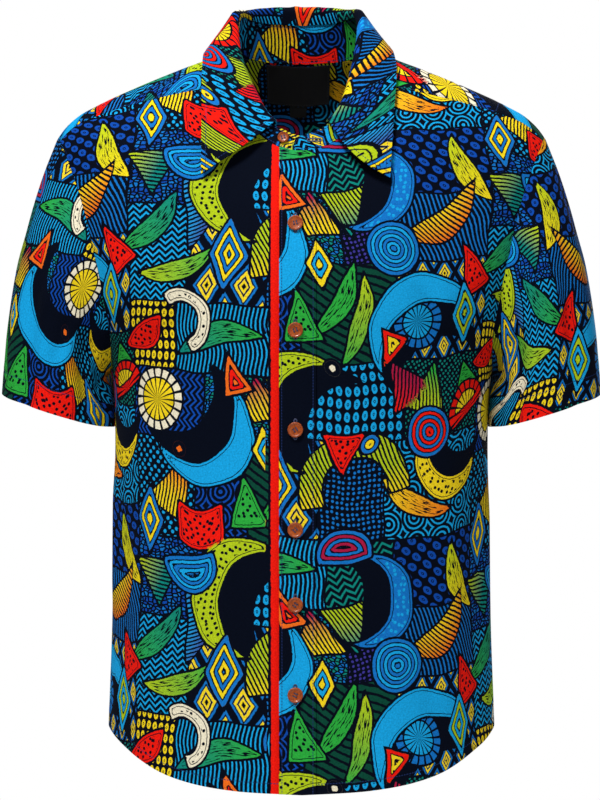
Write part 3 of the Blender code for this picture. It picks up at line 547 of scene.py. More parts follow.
def outline(kind, u, v, width, height):
    """How far inside a motif's outline its points lie, negative outside."""
    if kind == "box":
        over = np.stack((np.abs(u) - width + 3, np.abs(v) - height + 3))
        return 3 - np.linalg.norm(np.maximum(over, 0), axis=0) - np.minimum(over.max(axis=0), 0)
    if kind == "disc":
        return (1 - np.hypot(u / width, v / height)) * min(width, height)
    if kind == "arch":
        return np.minimum(width - np.hypot(u, v), v + height)
    if kind == "arc":
        return np.minimum(height - np.abs(np.hypot(u, v) - width), v + height)
    if kind == "moon":
        return np.minimum(width - np.hypot(u, v), np.hypot(u, v - height) - width * 0.94)
    if kind == "lozenge":
        return (1 - np.abs(u) / width - np.abs(v) / height) * width * height / math.hypot(width, height)
    if kind == "triangle":
        sides = (width - np.abs(u)) * 2 * height - (v + height) * width
        return np.minimum(v + height, sides / math.hypot(2 * height, width))
    radius = (width**2 + height**2) / (2 * height)
    return radius - np.hypot(u, np.abs(v) + radius - height)


def hand_drawn(place):
    """Places on the flat cloth, bent a little so that no printed line is quite straight."""
    x, y = place[:, 0], place[:, 1]
    return (
        x + 5.0 * np.sin(y / 61) + 1.5 * np.sin(y / 19) + 0.8 * np.sin(y / 7.3 + 2),
        y + 5.0 * np.sin(x / 53 + 1) + 1.5 * np.sin(x / 17 + 1) + 0.8 * np.sin(x / 8.1),
    )


def print_on(place):
    """For each filling, the place in its nearest motif with the distance inside it, and that motif's inks."""
    x, y = hand_drawn(place)
    layers = {}
    for filling in FILLINGS:
        spot = np.zeros((len(x), 3))
        spot[:, 2] = -99
        first, second = np.zeros((len(x), 3)), np.zeros((len(x), 3))
        for _, kind, middle_x, middle_y, width, height, turn, bend, scale, ink_a, ink_b in (
            row for row in MOTIFS if row[0] == filling
        ):
            step = np.round((x - middle_x) / TILE_WIDTH)
            off_x = x - middle_x - step * TILE_WIDTH
            off_y = (y - middle_y + (1 - step) * TILE_HEIGHT / 2) % TILE_HEIGHT - TILE_HEIGHT / 2
            angle = math.radians(turn if kind != "box" else 0)
            u = off_x * math.cos(angle) + off_y * math.sin(angle)
            v = off_y * math.cos(angle) - off_x * math.sin(angle)
            v = v - bend * u**2
            inside = outline(kind, u, v, width, height)
            if kind == "box":
                angle = math.radians(turn)
                u, v = u * math.cos(angle) + v * math.sin(angle), v * math.cos(angle) - u * math.sin(angle)
            nearer = inside > spot[:, 2]
            spot[nearer] = np.stack((u * scale, v * scale, inside), axis=-1)[nearer]
            first[nearer], second[nearer] = INKS[ink_a][:3], INKS[ink_b][:3]
        layers[filling], layers[filling + "_a"], layers[filling + "_b"] = spot, first, second
    return layers


def red_band(layers, across, middle, half_width):
    """A plain red band printed down the cloth, over whatever lies there."""
    inside = np.minimum(half_width - np.abs(across - middle), 1.3)
    on = inside > -4
    layers["spots"][on] = np.stack((0 * inside, 0 * inside, inside), axis=-1)[on]
    layers["spots_a"][on] = layers["spots_b"][on] = INKS["red"][:3]
    layers["echo"][on, 2] = -99


print("motifs:", len(MOTIFS), "fillings:", len(FILLINGS))

# %% [markdown]
# ## Materials
# One small function adds a node, so that each material reads as a recipe. Another starts a finish: a material whose
# values that are the same all over are set on its shader's own sockets.

# %% Node helper
BUMP_DISTANCE = 0.1 * MM


def add(tree, kind, *sources, output=0, **settings):
    """Adds a node with its settings, links or sets its inputs in their order, and returns one of its outputs."""
    made = tree.nodes.new("ShaderNode" + kind)
    for setting, value in settings.items():
        setattr(made, setting, value)
    for socket, source in zip(made.inputs, sources):
        if isinstance(source, bpy.types.NodeSocket):
            tree.links.new(source, socket)
        elif source is not None:
            socket.default_value = source
    return made.outputs[output]


def new_finish(name, sockets):
    """A material with those values on its shader, with its node tree and the shader's inputs."""
    material = bpy.data.materials.new(name)
    material.use_nodes = True
    inputs = material.node_tree.nodes["Principled BSDF"].inputs
    for socket, value in sockets.items():
        inputs[socket].default_value = value
    return material, material.node_tree, inputs


# %% [markdown]
# ### Fillings of the motifs
# Each filling is a small sum on the place (u, v) in its motif, or on the distance in from its outline. It gives two
# shares: how much of the second ink shows, and how much of the dark line. Waves make stripes and dots, a folded
# ruler makes lozenges and zigzags, and cells make pebbles, much as a carver repeats one cut.

# %% Fillings
def edge(tree, value, start, width=0.3):
    """0 below start and 1 above it, over a narrow soft edge."""
    return add(tree, "MapRange", value, start - width / 2, start + width / 2, 0.0, 1.0)


def below(tree, value, start, width=0.3):
    """1 below start and 0 above it, over a narrow soft edge."""
    return edge(tree, add(tree, "Math", 0.0, value, operation="SUBTRACT"), -start, width)


def sine_of(tree, value, pace):
    """The sine of a value times its pace, which makes rows of waves."""
    return add(tree, "Math", add(tree, "Math", value, pace, operation="MULTIPLY"), operation="SINE")


def filling_pebbles(tree, u, v, inside):
    spot = add(tree, "CombineXYZ", u, add(tree, "Math", v, 1.5, operation="MULTIPLY"), 0.0)
    rim = add(tree, "TexVoronoi", spot, None, 0.17, feature="DISTANCE_TO_EDGE", voronoi_dimensions="2D")
    cell = add(tree, "TexVoronoi", spot, None, 0.17, output=1, voronoi_dimensions="2D")
    return edge(tree, cell, 0.45, 0.1), below(tree, rim, 0.2, 0.06)


def filling_dots(tree, u, v, inside):
    spot = add(tree, "CombineXYZ", u, v, 0.0)
    far = add(tree, "TexVoronoi", spot, None, 0.19, None, None, None, None, None, 0.3, voronoi_dimensions="2D")
    return below(tree, far, 0.28, 0.08), 0.0


def filling_stripes(tree, u, v, inside):
    sway = sine_of(tree, v, 0.11)
    across = add(tree, "Math", sway, 1.6, u, operation="MULTIPLY_ADD")
    wave = sine_of(tree, across, math.tau / 5.0)
    return edge(tree, wave, 0.4, 0.4), 0.0


def filling_lozenges(tree, u, v, inside):
    folds = [
        add(tree, "Math", add(tree, "Math", w, size, operation="PINGPONG"), size, operation="DIVIDE")
        for w, size in ((u, 12.0), (v, 19.0))
    ]
    centred = add(tree, "Math", add(tree, "Math", *folds), 1.0, operation="SUBTRACT")
    near = add(tree, "Math", 1.0, add(tree, "Math", centred, operation="ABSOLUTE"), operation="SUBTRACT")
    bands = [edge(tree, near, start, 0.04) for start in (0.12, 0.26, 0.36, 0.54, 0.62, 0.76)]
    second = add(tree, "Math", add(tree, "Math", bands[2], bands[3], operation="SUBTRACT"), 1.0, operation="ADD")
    second = add(tree, "Math", second, bands[1], operation="SUBTRACT", use_clamp=True)
    rings = add(tree, "Math", add(tree, "Math", bands[1], bands[2], operation="SUBTRACT"), bands[3])
    rings = add(tree, "Math", add(tree, "Math", rings, bands[4], operation="SUBTRACT"), bands[5])
    core = add(tree, "Math", 1.0, bands[0], operation="SUBTRACT")
    return second, add(tree, "Math", core, rings, use_clamp=True)


def filling_rings(tree, u, v, inside):
    spot = add(
        tree,
        "CombineXYZ",
        add(tree, "Math", u, 15.0, operation="PINGPONG"),
        add(tree, "Math", v, 13.0, operation="PINGPONG"),
        0.0,
    )
    radius = add(tree, "VectorMath", spot, operation="LENGTH", output=1)
    wave = sine_of(tree, radius, math.tau / 4.9)
    return edge(tree, wave, 0.4, 0.4), 0.0


def filling_zigzag(tree, u, v, inside):
    fold = add(tree, "Math", add(tree, "Math", u, 7.0, operation="PINGPONG"), 0.9, v, operation="MULTIPLY_ADD")
    wave = sine_of(tree, fold, math.tau / 6.4)
    return edge(tree, wave, 0.32, 0.35), 0.0


def filling_beads(tree, u, v, inside):
    spot = add(
        tree,
        "CombineXYZ",
        add(tree, "Math", u, 4.6, operation="PINGPONG"),
        add(tree, "Math", add(tree, "Math", v, 6.4, operation="PINGPONG"), 0.62, operation="MULTIPLY"),
        0.0,
    )
    radius = add(tree, "VectorMath", spot, operation="LENGTH", output=1)
    inner, outer = edge(tree, radius, 1.1), edge(tree, radius, 3.1)
    hole = add(tree, "Math", edge(tree, radius, 0.5), inner, operation="SUBTRACT")
    return add(tree, "Math", 1.0, outer, operation="SUBTRACT"), hole


def filling_leaf(tree, u, v, inside):
    slant = add(tree, "Math", v, 0.5, u, operation="MULTIPLY_ADD")
    spot = add(tree, "CombineXYZ", add(tree, "Math", slant, 0.14, operation="MULTIPLY"), v, 0.0)
    strokes = edge(tree, add(tree, "TexNoise", spot, None, 0.62, 1.0), 0.55, 0.04)
    strokes = add(tree, "Math", strokes, edge(tree, inside, 2.0), operation="MULTIPLY")
    return add(tree, "MapRange", u, -45.0, 45.0, 0.0, 1.0), strokes


def filling_hatch(tree, u, v, inside):
    sway = add(tree, "Math", v, 0.35, u, operation="MULTIPLY_ADD")
    wave = sine_of(tree, sway, math.tau / 4.4)
    return add(tree, "MapRange", v, -14.0, 16.0, 0.0, 1.0), edge(tree, wave, 0.05, 0.4)


def filling_fan(tree, u, v, inside):
    angle = add(tree, "Math", v, u, operation="ARCTAN2")
    wave = sine_of(tree, angle, 9.0)
    size = add(tree, "Math", wave, operation="ABSOLUTE")
    step = add(tree, "Math", add(tree, "Math", inside, 9.0, operation="SUBTRACT"), operation="ABSOLUTE")
    ring = below(tree, step, 1.0)
    rays = below(tree, size, 0.45, 0.2)
    return edge(tree, inside, 9.0), add(tree, "Math", ring, rays, operation="MAXIMUM")


def filling_spots(tree, u, v, inside):
    place = add(tree, "CombineXYZ", u, v, 0.0)
    far = add(tree, "TexVoronoi", place, None, 0.16, None, None, None, None, None, 0.8, voronoi_dimensions="2D")
    spots = below(tree, far, 0.27, 0.06)
    step = add(tree, "Math", add(tree, "Math", inside, 2.6, operation="SUBTRACT"), operation="ABSOLUTE")
    line = below(tree, step, 0.4)
    return add(tree, "Math", spots, edge(tree, inside, 4.0), operation="MULTIPLY"), line


def filling_echo(tree, u, v, inside):
    wave = sine_of(tree, inside, math.pi / 3.9)
    size = add(tree, "Math", wave, operation="ABSOLUTE")
    line = below(tree, size, 0.5, 0.2)
    return edge(tree, wave, 0.0, 0.2), add(tree, "Math", line, edge(tree, inside, 1.5), operation="MULTIPLY")


DRAW = {
    "pebbles": filling_pebbles,
    "dots": filling_dots,
    "stripes": filling_stripes,
    "lozenges": filling_lozenges,
    "rings": filling_rings,
    "zigzag": filling_zigzag,
    "beads": filling_beads,
    "leaf": filling_leaf,
    "hatch": filling_hatch,
    "fan": filling_fan,
    "spots": filling_spots,
    "echo": filling_echo,
}

# %% [markdown]
# ### Printed cotton
# The cloth is cotton poplin, plain-woven and screen printed. It is matt, with a faint fuzz at grazing angles, so it
# has high roughness and a little sheen. Its threads lie 0.3 mm apart, which is finer than a pixel here, so the weave
# is drawn at 0.9 mm and very low. The ink soaks in unevenly, and mottles. The wrong side is the same print, paler
# and greyer, because less of the ink comes through.

# %% Printed cotton
WEAVE_PITCH = 0.9
STITCH_PITCH = 3.0
COTTON = {
    "Roughness": 0.78,
    "IOR": 1.5,
    "Specular IOR Level": 0.025,
    "Sheen Weight": 0.005,
    "Sheen Roughness": 0.5,
}


def stitched(tree):
    """Shares of thread and of the pressed-in groove along the two kinds of seam."""
    hem, seam, run = add(tree, "SeparateXYZ", add(tree, "Attribute", attribute_name="edge", output=1)).node.outputs
    dash = sine_of(tree, run, math.tau / STITCH_PITCH)
    near = add(
        tree,
        "Math",
        add(tree, "Math", hem, operation="ABSOLUTE"),
        add(tree, "Math", seam, operation="ABSOLUTE"),
        operation="MINIMUM",
    )
    line = below(tree, near, 0.42)
    groove = add(tree, "MapRange", near, 0.0, 1.6, 1.0, 0.0, interpolation_type="SMOOTHSTEP")
    return add(tree, "Math", line, edge(tree, dash, -0.4, 0.6), operation="MULTIPLY"), groove


def print_colour(tree):
    """The print, from the layers that the cloth carries."""
    flat = add(tree, "Attribute", attribute_name="cloth", output=1)
    wobble = add(tree, "TexNoise", flat, None, 0.22, 2.0)
    wobble = add(tree, "MapRange", wobble, 0.0, 1.0, -0.75, 0.75)
    dark = add(tree, "RGB")
    dark.default_value = INKS["ink"]
    colour = dark
    for filling in FILLINGS:
        spot = add(tree, "Attribute", attribute_name=filling, output=1)
        u, v, inside = add(tree, "SeparateXYZ", spot).node.outputs
        inside = add(tree, "Math", inside, wobble)
        u = add(tree, "Math", u, wobble)
        second, line = DRAW[filling](tree, u, v, inside)
        first_ink = add(tree, "Attribute", attribute_name=filling + "_a")
        second_ink = add(tree, "Attribute", attribute_name=filling + "_b")
        fill = add(tree, "MixRGB", line, add(tree, "MixRGB", second, first_ink, second_ink), dark)
        if filling in OVER_BLOCKS:
            colour = add(tree, "MixRGB", edge(tree, inside, -2.3), colour, dark)
        colour = add(tree, "MixRGB", edge(tree, inside, 0.1), colour, fill)
    return colour, flat


def printed_cotton(name, right_side):
    """The cloth's right side, or its paler wrong side."""
    material, tree, inputs = new_finish(name, COTTON)
    colour, flat = print_colour(tree)
    mottle = add(tree, "TexNoise", flat, None, 0.55, 4.0, 0.7)
    mottle = add(tree, "MapRange", mottle, 0.3, 0.7, 0.62, 1.08)
    colour = add(tree, "MixRGB", 1.0, colour, add(tree, "CombineColor", mottle, mottle, mottle), blend_type="MULTIPLY")
    thread, groove = stitched(tree)
    colour = add(tree, "MixRGB", thread, colour, linear("1c2c58"))
    if not right_side:
        colour = add(tree, "HueSaturation", 0.5, 0.8, 0.85, 1.0, colour)
        colour = add(tree, "MixRGB", 0.22, colour, linear("64708c"))
    tree.links.new(colour, inputs["Base Color"])
    across, down, _ = add(tree, "SeparateXYZ", flat).node.outputs
    threads = [sine_of(tree, w, math.tau / WEAVE_PITCH) for w in (across, down)]
    weave = add(tree, "Math", *threads, operation="MULTIPLY")
    rough = add(tree, "TexNoise", flat, None, 1.6, 3.0)
    height = add(tree, "Math", weave, 0.5, rough, operation="MULTIPLY_ADD")
    height = add(tree, "Math", groove, -3.0, height, operation="MULTIPLY_ADD")
    height = add(tree, "Math", thread, 2.4, height, operation="MULTIPLY_ADD")
    tree.links.new(add(tree, "Bump", 0.35, BUMP_DISTANCE, None, height), inputs["Normal"])
    return material


right_side = printed_cotton("printed_cotton", True)
wrong_side = printed_cotton("printed_cotton_wrong_side", False)
print("nodes in the printed cotton:", len(right_side.node_tree.nodes))

# %% [markdown]
# ## Sewing a piece
# Every piece starts as a flat grid, as a pattern piece does, and is then laid on the form and given a thin wall by
# extruding it inwards. Solidify could do the last step, but here both faces of the wall keep their own cloth side.
# A real seam is sewn shut, and here the pieces stop a hair short of each other, which draws the seam line.

# %% Sewing
WALL = 0.9 * MM
PIECES = {}


def pull_in(points, amount):
    """Moves the four edges of a sheet of points towards its inside, which leaves the gap at each seam."""
    points = points.copy()
    inside = points.copy()
    for border, beside in ((0, 1), (-1, -2)):
        points[border] += unit(inside[beside] - inside[border]) * amount
        points[:, border] += unit(inside[:, beside] - inside[:, border]) * amount
    return points


def stitch_lines(points, hem=None, top=None, first=None, last=None):
    """Distance in from the hem's stitches and from the seams', and the run along them, in mm, at each point."""
    right, down = tape(points, 1), tape(points, 0)
    borders = {"top": down, "hem": down[-1] - down, "first": right, "last": right[:, -1:] - right}
    far = np.full(right.shape, 60.0)
    hem_line = np.minimum(borders["hem"] - hem, far) if hem is not None else far
    seam_line, run = far.copy(), right.copy()
    for name, offset in (("top", top), ("first", first), ("last", last)):
        if offset is not None:
            nearer = borders[name] - offset < seam_line
            seam_line = np.where(nearer, borders[name] - offset, seam_line)
            run = np.where(nearer, right if name == "top" else down, run)
    run = np.where(hem_line < seam_line, right, run)
    return np.stack((hem_line, seam_line, run), axis=-1)


def sew(name, node, points, facing, place, stitches, materials, wall=WALL, band=None):
    """Makes a cloth piece from a sheet of points and puts it in its solid's place."""
    rows, columns = points.shape[0] - 1, points.shape[1] - 1
    inner = points - facing * np.broadcast_to(np.asarray(wall, float), points.shape[:2])[..., None]
    shell = bmesh.new()
    bmesh.ops.create_grid(shell, x_segments=columns, y_segments=rows, size=1)
    spot, deep = shell.verts.layers.int.new("spot"), shell.verts.layers.int.new("deep")
    for index, (vertex, point) in enumerate(zip(shell.verts, points.reshape(-1, 3))):
        vertex.co = point
        vertex[spot] = index
    made = bmesh.ops.extrude_face_region(shell, geom=shell.faces[:])["geom"]
    inner = inner.reshape(-1, 3)
    for vertex in (item for item in made if isinstance(item, bmesh.types.BMVert)):
        vertex.co = inner[vertex[spot]]
        vertex[deep] = 1
    bmesh.ops.recalc_face_normals(shell, faces=shell.faces[:])
    for face in shell.faces:
        face.material_index = int(all(vertex[deep] for vertex in face.verts))
        face.smooth = True
    order = np.array([vertex[spot] for vertex in shell.verts])
    shell.verts.layers.int.remove(shell.verts.layers.int["deep"])
    shell.verts.layers.int.remove(shell.verts.layers.int["spot"])
    mesh = as_mesh(shell, name)
    mesh.set_sharp_from_angle(angle=math.radians(50))
    flat = place.reshape(-1, 2)
    carried = {"cloth": np.column_stack((flat, np.zeros(len(flat)))), "edge": stitches.reshape(-1, 3)}
    if materials[0] is right_side:
        layers = print_on(flat)
        if band is not None:
            red_band(layers, flat[:, 0], *band)
        carried.update(layers)
    for label, values in carried.items():
        layer = mesh.attributes.new(label, "FLOAT_VECTOR", "POINT")
        layer.data.foreach_set("vector", values[order].astype(np.float32).ravel())
    for material in materials:
        mesh.materials.append(material)
    piece = bpy.data.objects.new(name, mesh)
    bpy.context.collection.objects.link(piece)
    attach(piece, "root")
    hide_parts(node)
    PIECES[name] = piece
    print(name, "triangles:", sum(len(face.vertices) - 2 for face in mesh.polygons))
    return piece


# %% [markdown]
# ## Neck seam and front closure
# Where the collar is sewn on is an oval seen from above. The fronts, the yoke and the stand all start from it.

# %% Neck and front lines
NECK_HALF_WIDTH, NECK_HALF_DEPTH, NECK_CENTRE, NECK_SQUARING = 0.077, 0.080, -0.020, 0.85
YOKE_CORNER, YOKE_TIP, YOKE_BACK_LEVEL = 108, 0.18, -0.105
PLACKET_EDGE, STAND_TIP, BUTTON_LINE = -0.0225, -0.0105, -0.0061
STRIP_MIDDLE, UNDERLAP_EDGE, PLACKET_FOLD = -0.0005, 0.0095, 0.0145
BUTTON_LEVELS = (-0.1711, -0.2780, -0.3780, -0.4783, -0.5534, -0.6435)
LEAF_END = 158


def seen_from_above(x, y):
    """across and along of the body under a point x, y."""
    x, y = np.asarray(x, float), np.asarray(y, float)
    side = np.where(y > 0, -1.0, 1.0)
    across = x / SHOULDER_TIP
    along = 0.5 * side
    for _ in range(40):
        spot = torso(across, along)
        across = across * np.where(np.abs(x) > 1e-9, x / np.where(spot[..., 0] == 0, 1, spot[..., 0]), 1)
        wide = torso(across, side)[..., 1]
        share = np.clip(np.abs(y / wide), 0, 1) ** (1 / neck_power(across, y > 0))
        along = side * np.arcsin(share) / (math.pi / 2)
    return across, along


def at_x(x, along):
    """across of the point with that x, at that place along."""
    across = np.broadcast_to(np.asarray(x / SHOULDER_TIP, float), np.shape(along)).copy()
    for _ in range(12):
        across = across * x / torso(across, along)[..., 0]
    return across


def neck_oval(around):
    """The neck seam seen from above, by degrees from its back."""
    turn = np.radians(around)
    ahead = np.cos(turn)
    ahead = np.where(ahead < 0, -(np.abs(ahead) ** NECK_SQUARING), ahead)
    return NECK_HALF_WIDTH * np.sin(turn), NECK_CENTRE + NECK_HALF_DEPTH * ahead


def neck_seam(around):
    """across and along of the neck seam."""
    return seen_from_above(*neck_oval(np.asarray(around, float)))


def at_neck(x):
    """Degrees round the neck of the place in front with that x."""
    return 180 - np.degrees(np.arcsin(np.asarray(x) / NECK_HALF_WIDTH))


def layer_lift(x):
    """The buttoned front stands out over the one under it, and settles back beside it."""
    return LAYER * (1 - ease((x - PLACKET_FOLD) / 0.035))


def armpit_along():
    """along of the armpit, which ends the armhole."""
    return 1 + ARMHOLE_FALL / (ARMHOLE_MIDDLE - HEM[-1][1])


# %% [markdown]
# ## Fronts
# Each front is one piece from the neck and shoulder seam to the shirt tail. The wearer's left front laps over the
# right one, so it is lifted by one thickness of cloth there and settles back beside the placket. Below the stitches
# the hem is folded up and twice as thick, and the row of stitches pulls it into a faint ripple. Each front says where
# on the flat cloth its middle was cut, and a plain red band is printed down the right one beside the placket.

# %% Fronts
STRIP_COLUMNS, NECK_COLUMNS, SEAM_COLUMNS = 13, 26, 62
ARMHOLE_ROWS, SIDE_ROWS = 104, 124
ARMPIT_SHARE, EASED_SHARE = 0.34, 0.4
BODY_HEM_STITCH, HEM_EXTRA = 10.5, 0.8
LEFT_FRONT_CUT, RIGHT_FRONT_CUT = (-36, -144), (18, 43)
RED_BAND, RED_BAND_HALF = -26.5, 4.6


def yoke_front_stations(count=SEAM_COLUMNS):
    """The front yoke seam on the wearer's left, from the neck out to the armhole."""
    start_across, start_along = neck_seam(YOKE_CORNER)
    run = np.linspace(0, 1, count + 1)
    return start_across + (1 - start_across) * run, start_along + (YOKE_TIP - start_along) * run


def row_shares(top, rows_above=ARMHOLE_ROWS, rows_below=SIDE_ROWS):
    """Shares of a panel's length at its middle and at its side, with the armpit's row at the same place."""
    armpit = armpit_along()
    side = np.append(np.linspace(top, armpit, rows_above + 1), np.linspace(armpit, 2, rows_below + 1)[1:])
    middle = np.append(np.linspace(0, ARMPIT_SHARE, rows_above + 1), np.linspace(ARMPIT_SHARE, 1, rows_below + 1)[1:])
    return middle[:, None], ((side - top) / (2 - top))[:, None]


def part_eased(t):
    """0 to 1, partly straight and partly with level ends."""
    return ease(t) * EASED_SHARE + t * (1 - EASED_SHARE)


def strip_lines(side):
    """x of the columns of the front closure, on a front seen as the wearer's left one."""
    lines = np.array([PLACKET_EDGE, STAND_TIP, STRIP_MIDDLE, UNDERLAP_EDGE, PLACKET_FOLD])
    lines = lines if side > 0 else -lines[3::-1]
    return np.interp(np.linspace(0, len(lines) - 1, STRIP_COLUMNS + 1), range(len(lines)), lines)


def front_sheet(side):
    """across and along of a front's points. side is 1 for the wearer's left front and -1 for the right."""
    strips_x = strip_lines(side)
    across_neck, along_neck = neck_seam(
        np.append(at_neck(strips_x), np.linspace(at_neck(strips_x[-1]), YOKE_CORNER, NECK_COLUMNS + 1)[1:])
    )
    seam_across, seam_along = yoke_front_stations()
    top_across = np.append(across_neck, seam_across[1:])
    top_along = np.append(along_neck, seam_along[1:])
    strips = len(strips_x)
    reach = np.clip((np.arange(len(top_across)) - (strips - 1)) / (len(top_across) - strips), 0, 1)
    blend = part_eased(reach)
    at_middle, at_side = row_shares(YOKE_TIP)
    share = at_middle * (1 - blend) + at_side * blend
    along = top_along + (2 - top_along) * share
    foot = at_x(strips_x[-1], 2.0)
    low_across = foot + (1 - foot) * reach
    across = top_across + (low_across - top_across) * share
    across[:, 0:strips] = np.stack([at_x(x, along[:, i]) for i, x in enumerate(strips_x)], axis=1)
    across[:, -1] = 1
    return across, along


def hem_ripple(stitches, place, depth=0.35, every=13.0):
    """How far a stitched hem ripples out, in metres, and by how much its fold is thicker."""
    up = stitches[..., 0]
    wave = np.sin(place[..., 0] / every * 2 * math.pi + 1.3 * np.sin(place[..., 0] / 41))
    uneven = 0.6 + 0.4 * np.sin(place[..., 0] / 67 + 1)
    return depth * MM * wave * uneven * np.exp(-((up / 9) ** 2)) - 0.25 * MM * np.exp(-((up / 1.6) ** 2))


def hem_wall(stitches):
    """The wall of a piece, thicker where its hem is folded up."""
    return WALL * (1 + HEM_EXTRA * (stitches[..., 0] < 0))


def seam_swell(stitches):
    """The cloth dips along its stitches and plumps up between them and the seam."""
    inward = stitches[..., 1]
    return -0.28 * MM * np.exp(-((inward / 1.5) ** 2)) + 0.15 * MM * np.exp(-(((inward + 3) / 2.0) ** 2))


def make_front(name, node, side, offset, band=None):
    across, along = front_sheet(side)
    across = across * side
    points, _ = cloth(across, along)
    lift = layer_lift(points[..., 0]) if side > 0 else np.zeros(across.shape)
    place = body_place(across, along) + offset
    stitches = stitch_lines(points, hem=BODY_HEM_STITCH)
    points, facing = cloth(across, along, lift + hem_ripple(stitches, place) * ease(np.abs(points[..., 0]) / 0.05))
    wall = hem_wall(stitches)
    if side > 0:
        wall[:, : STRIP_COLUMNS + 1] = WALL
    points = pull_in(points, GAP * 0.6)
    return sew(name, node, points, facing, place, stitches, (right_side, wrong_side), wall, band=band)


make_front("left_front", "front_left", 1, LEFT_FRONT_CUT)
make_front("right_front", "front_right", -1, RIGHT_FRONT_CUT, (RIGHT_FRONT_CUT[0] + RED_BAND, RED_BAND_HALF))

# %% [markdown]
# ## Placket
# The buttonhole edge is faced with a band of the same cloth, cut so that its print runs on over the front that it
# lies on. Two rows of stitches hold it, each near an edge.

# %% Placket
PLACKET_STITCH = 3.2


def make_placket():
    across, along = front_sheet(1)
    across, along = across[:, : STRIP_COLUMNS + 1], along[:, : STRIP_COLUMNS + 1]
    points, _ = cloth(across, along)
    stitches = stitch_lines(points, first=PLACKET_STITCH, last=PLACKET_STITCH)
    place = body_place(across, along) + LEFT_FRONT_CUT
    dip = seam_swell(stitches)
    ripple = 0.22 * MM * np.sin(place[..., 1] / 11 * 2 * math.pi + 2 * np.sin(place[..., 1] / 53))
    dip = dip + ripple * np.exp(-((stitches[..., 1] / 4) ** 2))
    points, facing = cloth(across, along, LAYER + GAP + CLOTH + dip)
    return sew("placket_band", "placket", pull_in(points, GAP), facing, place, stitches, (right_side, right_side))


make_placket()

# %% [markdown]
# ## Back and yoke
# The yoke is one piece over both shoulders. Its front seams lie a little forward of the ridge, and the back hangs
# from its level back seam. Its edges are topstitched, and the back below is eased into it.

# %% Back and yoke
YOKE_ROWS, HALF_YOKE_NECK = 44, 44
BACK_HALF_COLUMNS = 100
YOKE_CUT, BACK_CUT = (40, 260), (150, -40)
SEAM_STITCH = 5.0


def yoke_back_along(across):
    """along, behind, of the level back yoke seam."""
    chest = chest_level(across, True)
    _, ridge_level = ridge_at(across)
    return -np.arccos((YOKE_BACK_LEVEL - chest) / (ridge_level - chest)) / (math.pi / 2)


def mirrored(left):
    """A half's values with the other half's before them, across changing its sign."""
    return np.append(-left[:0:-1], left)


def make_yoke():
    around = np.linspace(0, YOKE_CORNER, HALF_YOKE_NECK + 1)
    neck_across, neck_along = neck_seam(around)
    seam_across, seam_along = yoke_front_stations()
    top_across = np.append(neck_across, seam_across[1:])
    top_along = np.append(neck_along, seam_along[1:])
    upper, _ = cloth(top_across, top_along)
    steps = np.linalg.norm(np.diff(upper, axis=0), axis=1)
    low_across = np.append(0, np.cumsum(steps)) / steps.sum()
    low_along = yoke_back_along(low_across)
    top = (mirrored(top_across), np.append(top_along[:0:-1], top_along))
    low = (mirrored(low_across), np.append(low_along[:0:-1], low_along))
    run = np.linspace(0, 1, YOKE_ROWS + 1)[:, None]
    across = top[0] + (low[0] - top[0]) * run
    along = top[1] + (low[1] - top[1]) * run
    points, facing = cloth(across, along)
    stitches = stitch_lines(points, top=2.0, first=60.0, last=60.0)
    down = tape(points, 0)
    stitches[..., 0] = np.minimum(down[-1] - down - 2.0, 60)
    place = body_place(across, along, from_back=True) + YOKE_CUT
    points = points + facing * seam_swell(stitches)[..., None]
    return sew("shoulder_yoke", "yoke", pull_in(points, GAP * 0.6), facing, place, stitches, (right_side, right_side))


def make_back():
    half = np.linspace(0, 1, BACK_HALF_COLUMNS + 1)
    top_across = mirrored(half)
    top_along = yoke_back_along(top_across)
    blend = part_eased(np.abs(top_across))
    at_middle, at_side = row_shares(-top_along[-1], 80, 112)
    share = at_middle * (1 - blend) + at_side * blend
    along = top_along + (-2 - top_along) * share
    across = np.broadcast_to(top_across, along.shape)
    points, facing = cloth(across, along)
    stitches = stitch_lines(points, hem=BODY_HEM_STITCH)
    place = body_place(across, along) + BACK_CUT
    points = points + facing * hem_ripple(stitches, place)[..., None]
    points, wall = pull_in(points, GAP * 0.6), hem_wall(stitches)
    return sew("back_panel", "back", points, facing, place, stitches, (right_side, wrong_side), wall)


make_yoke()
make_back()

# %% [markdown]
# ## Sleeves
# A short sleeve is a tube that leaves the armhole outwards and soon hangs straight. Each of its lines runs from the
# armhole seam to the tilted oval of its hem, leaving and arriving in directions kept in a table. Its seam lies
# under the arm. The hem is turned up by 25 mm, and the cap is eased into the armhole with tiny puckers. The side next
# to the body leans in until it nearly rests on it, as loose cloth does.

# %% Sleeves
CUFF_CENTRE = np.array((0.2535, 0.0, -0.3580))
CUFF_HALF_WIDTH = np.array((0.0550, 0.0, 0.0170))
CUFF_HALF_DEPTH, CUFF_DROOP = 0.067, 0.0045
SLEEVE_COLUMNS, SLEEVE_ROWS, SLEEVE_HEM_STITCH = 176, 88, 24.0
LEFT_SLEEVE_CUT, RIGHT_SLEEVE_CUT = (130, -30), (-40, -21)
REST_GAP, MOST_LEAN = 1.2 * MM, 16 * MM
SLEEVE_RADIUS, SLEEVE_TURN_LENGTH, SLEEVE_RUN_LENGTH = 0.062, 1.08, 240  # m, mm in a degree, mm in a whole run
SLEEVE_WAYS = (
    # turn, out, forward, down, out_end, down_end
    (0, 0.40, 0.00, 0.92, 0.07, 1.00),
    (45, 0.56, 0.10, 0.80, 0.09, 1.00),
    (90, 0.78, 0.22, 0.58, 0.12, 0.99),
    (135, 0.85, 0.14, 0.50, 0.12, 0.99),
    (180, 0.80, 0.00, 0.60, 0.08, 0.99),
)
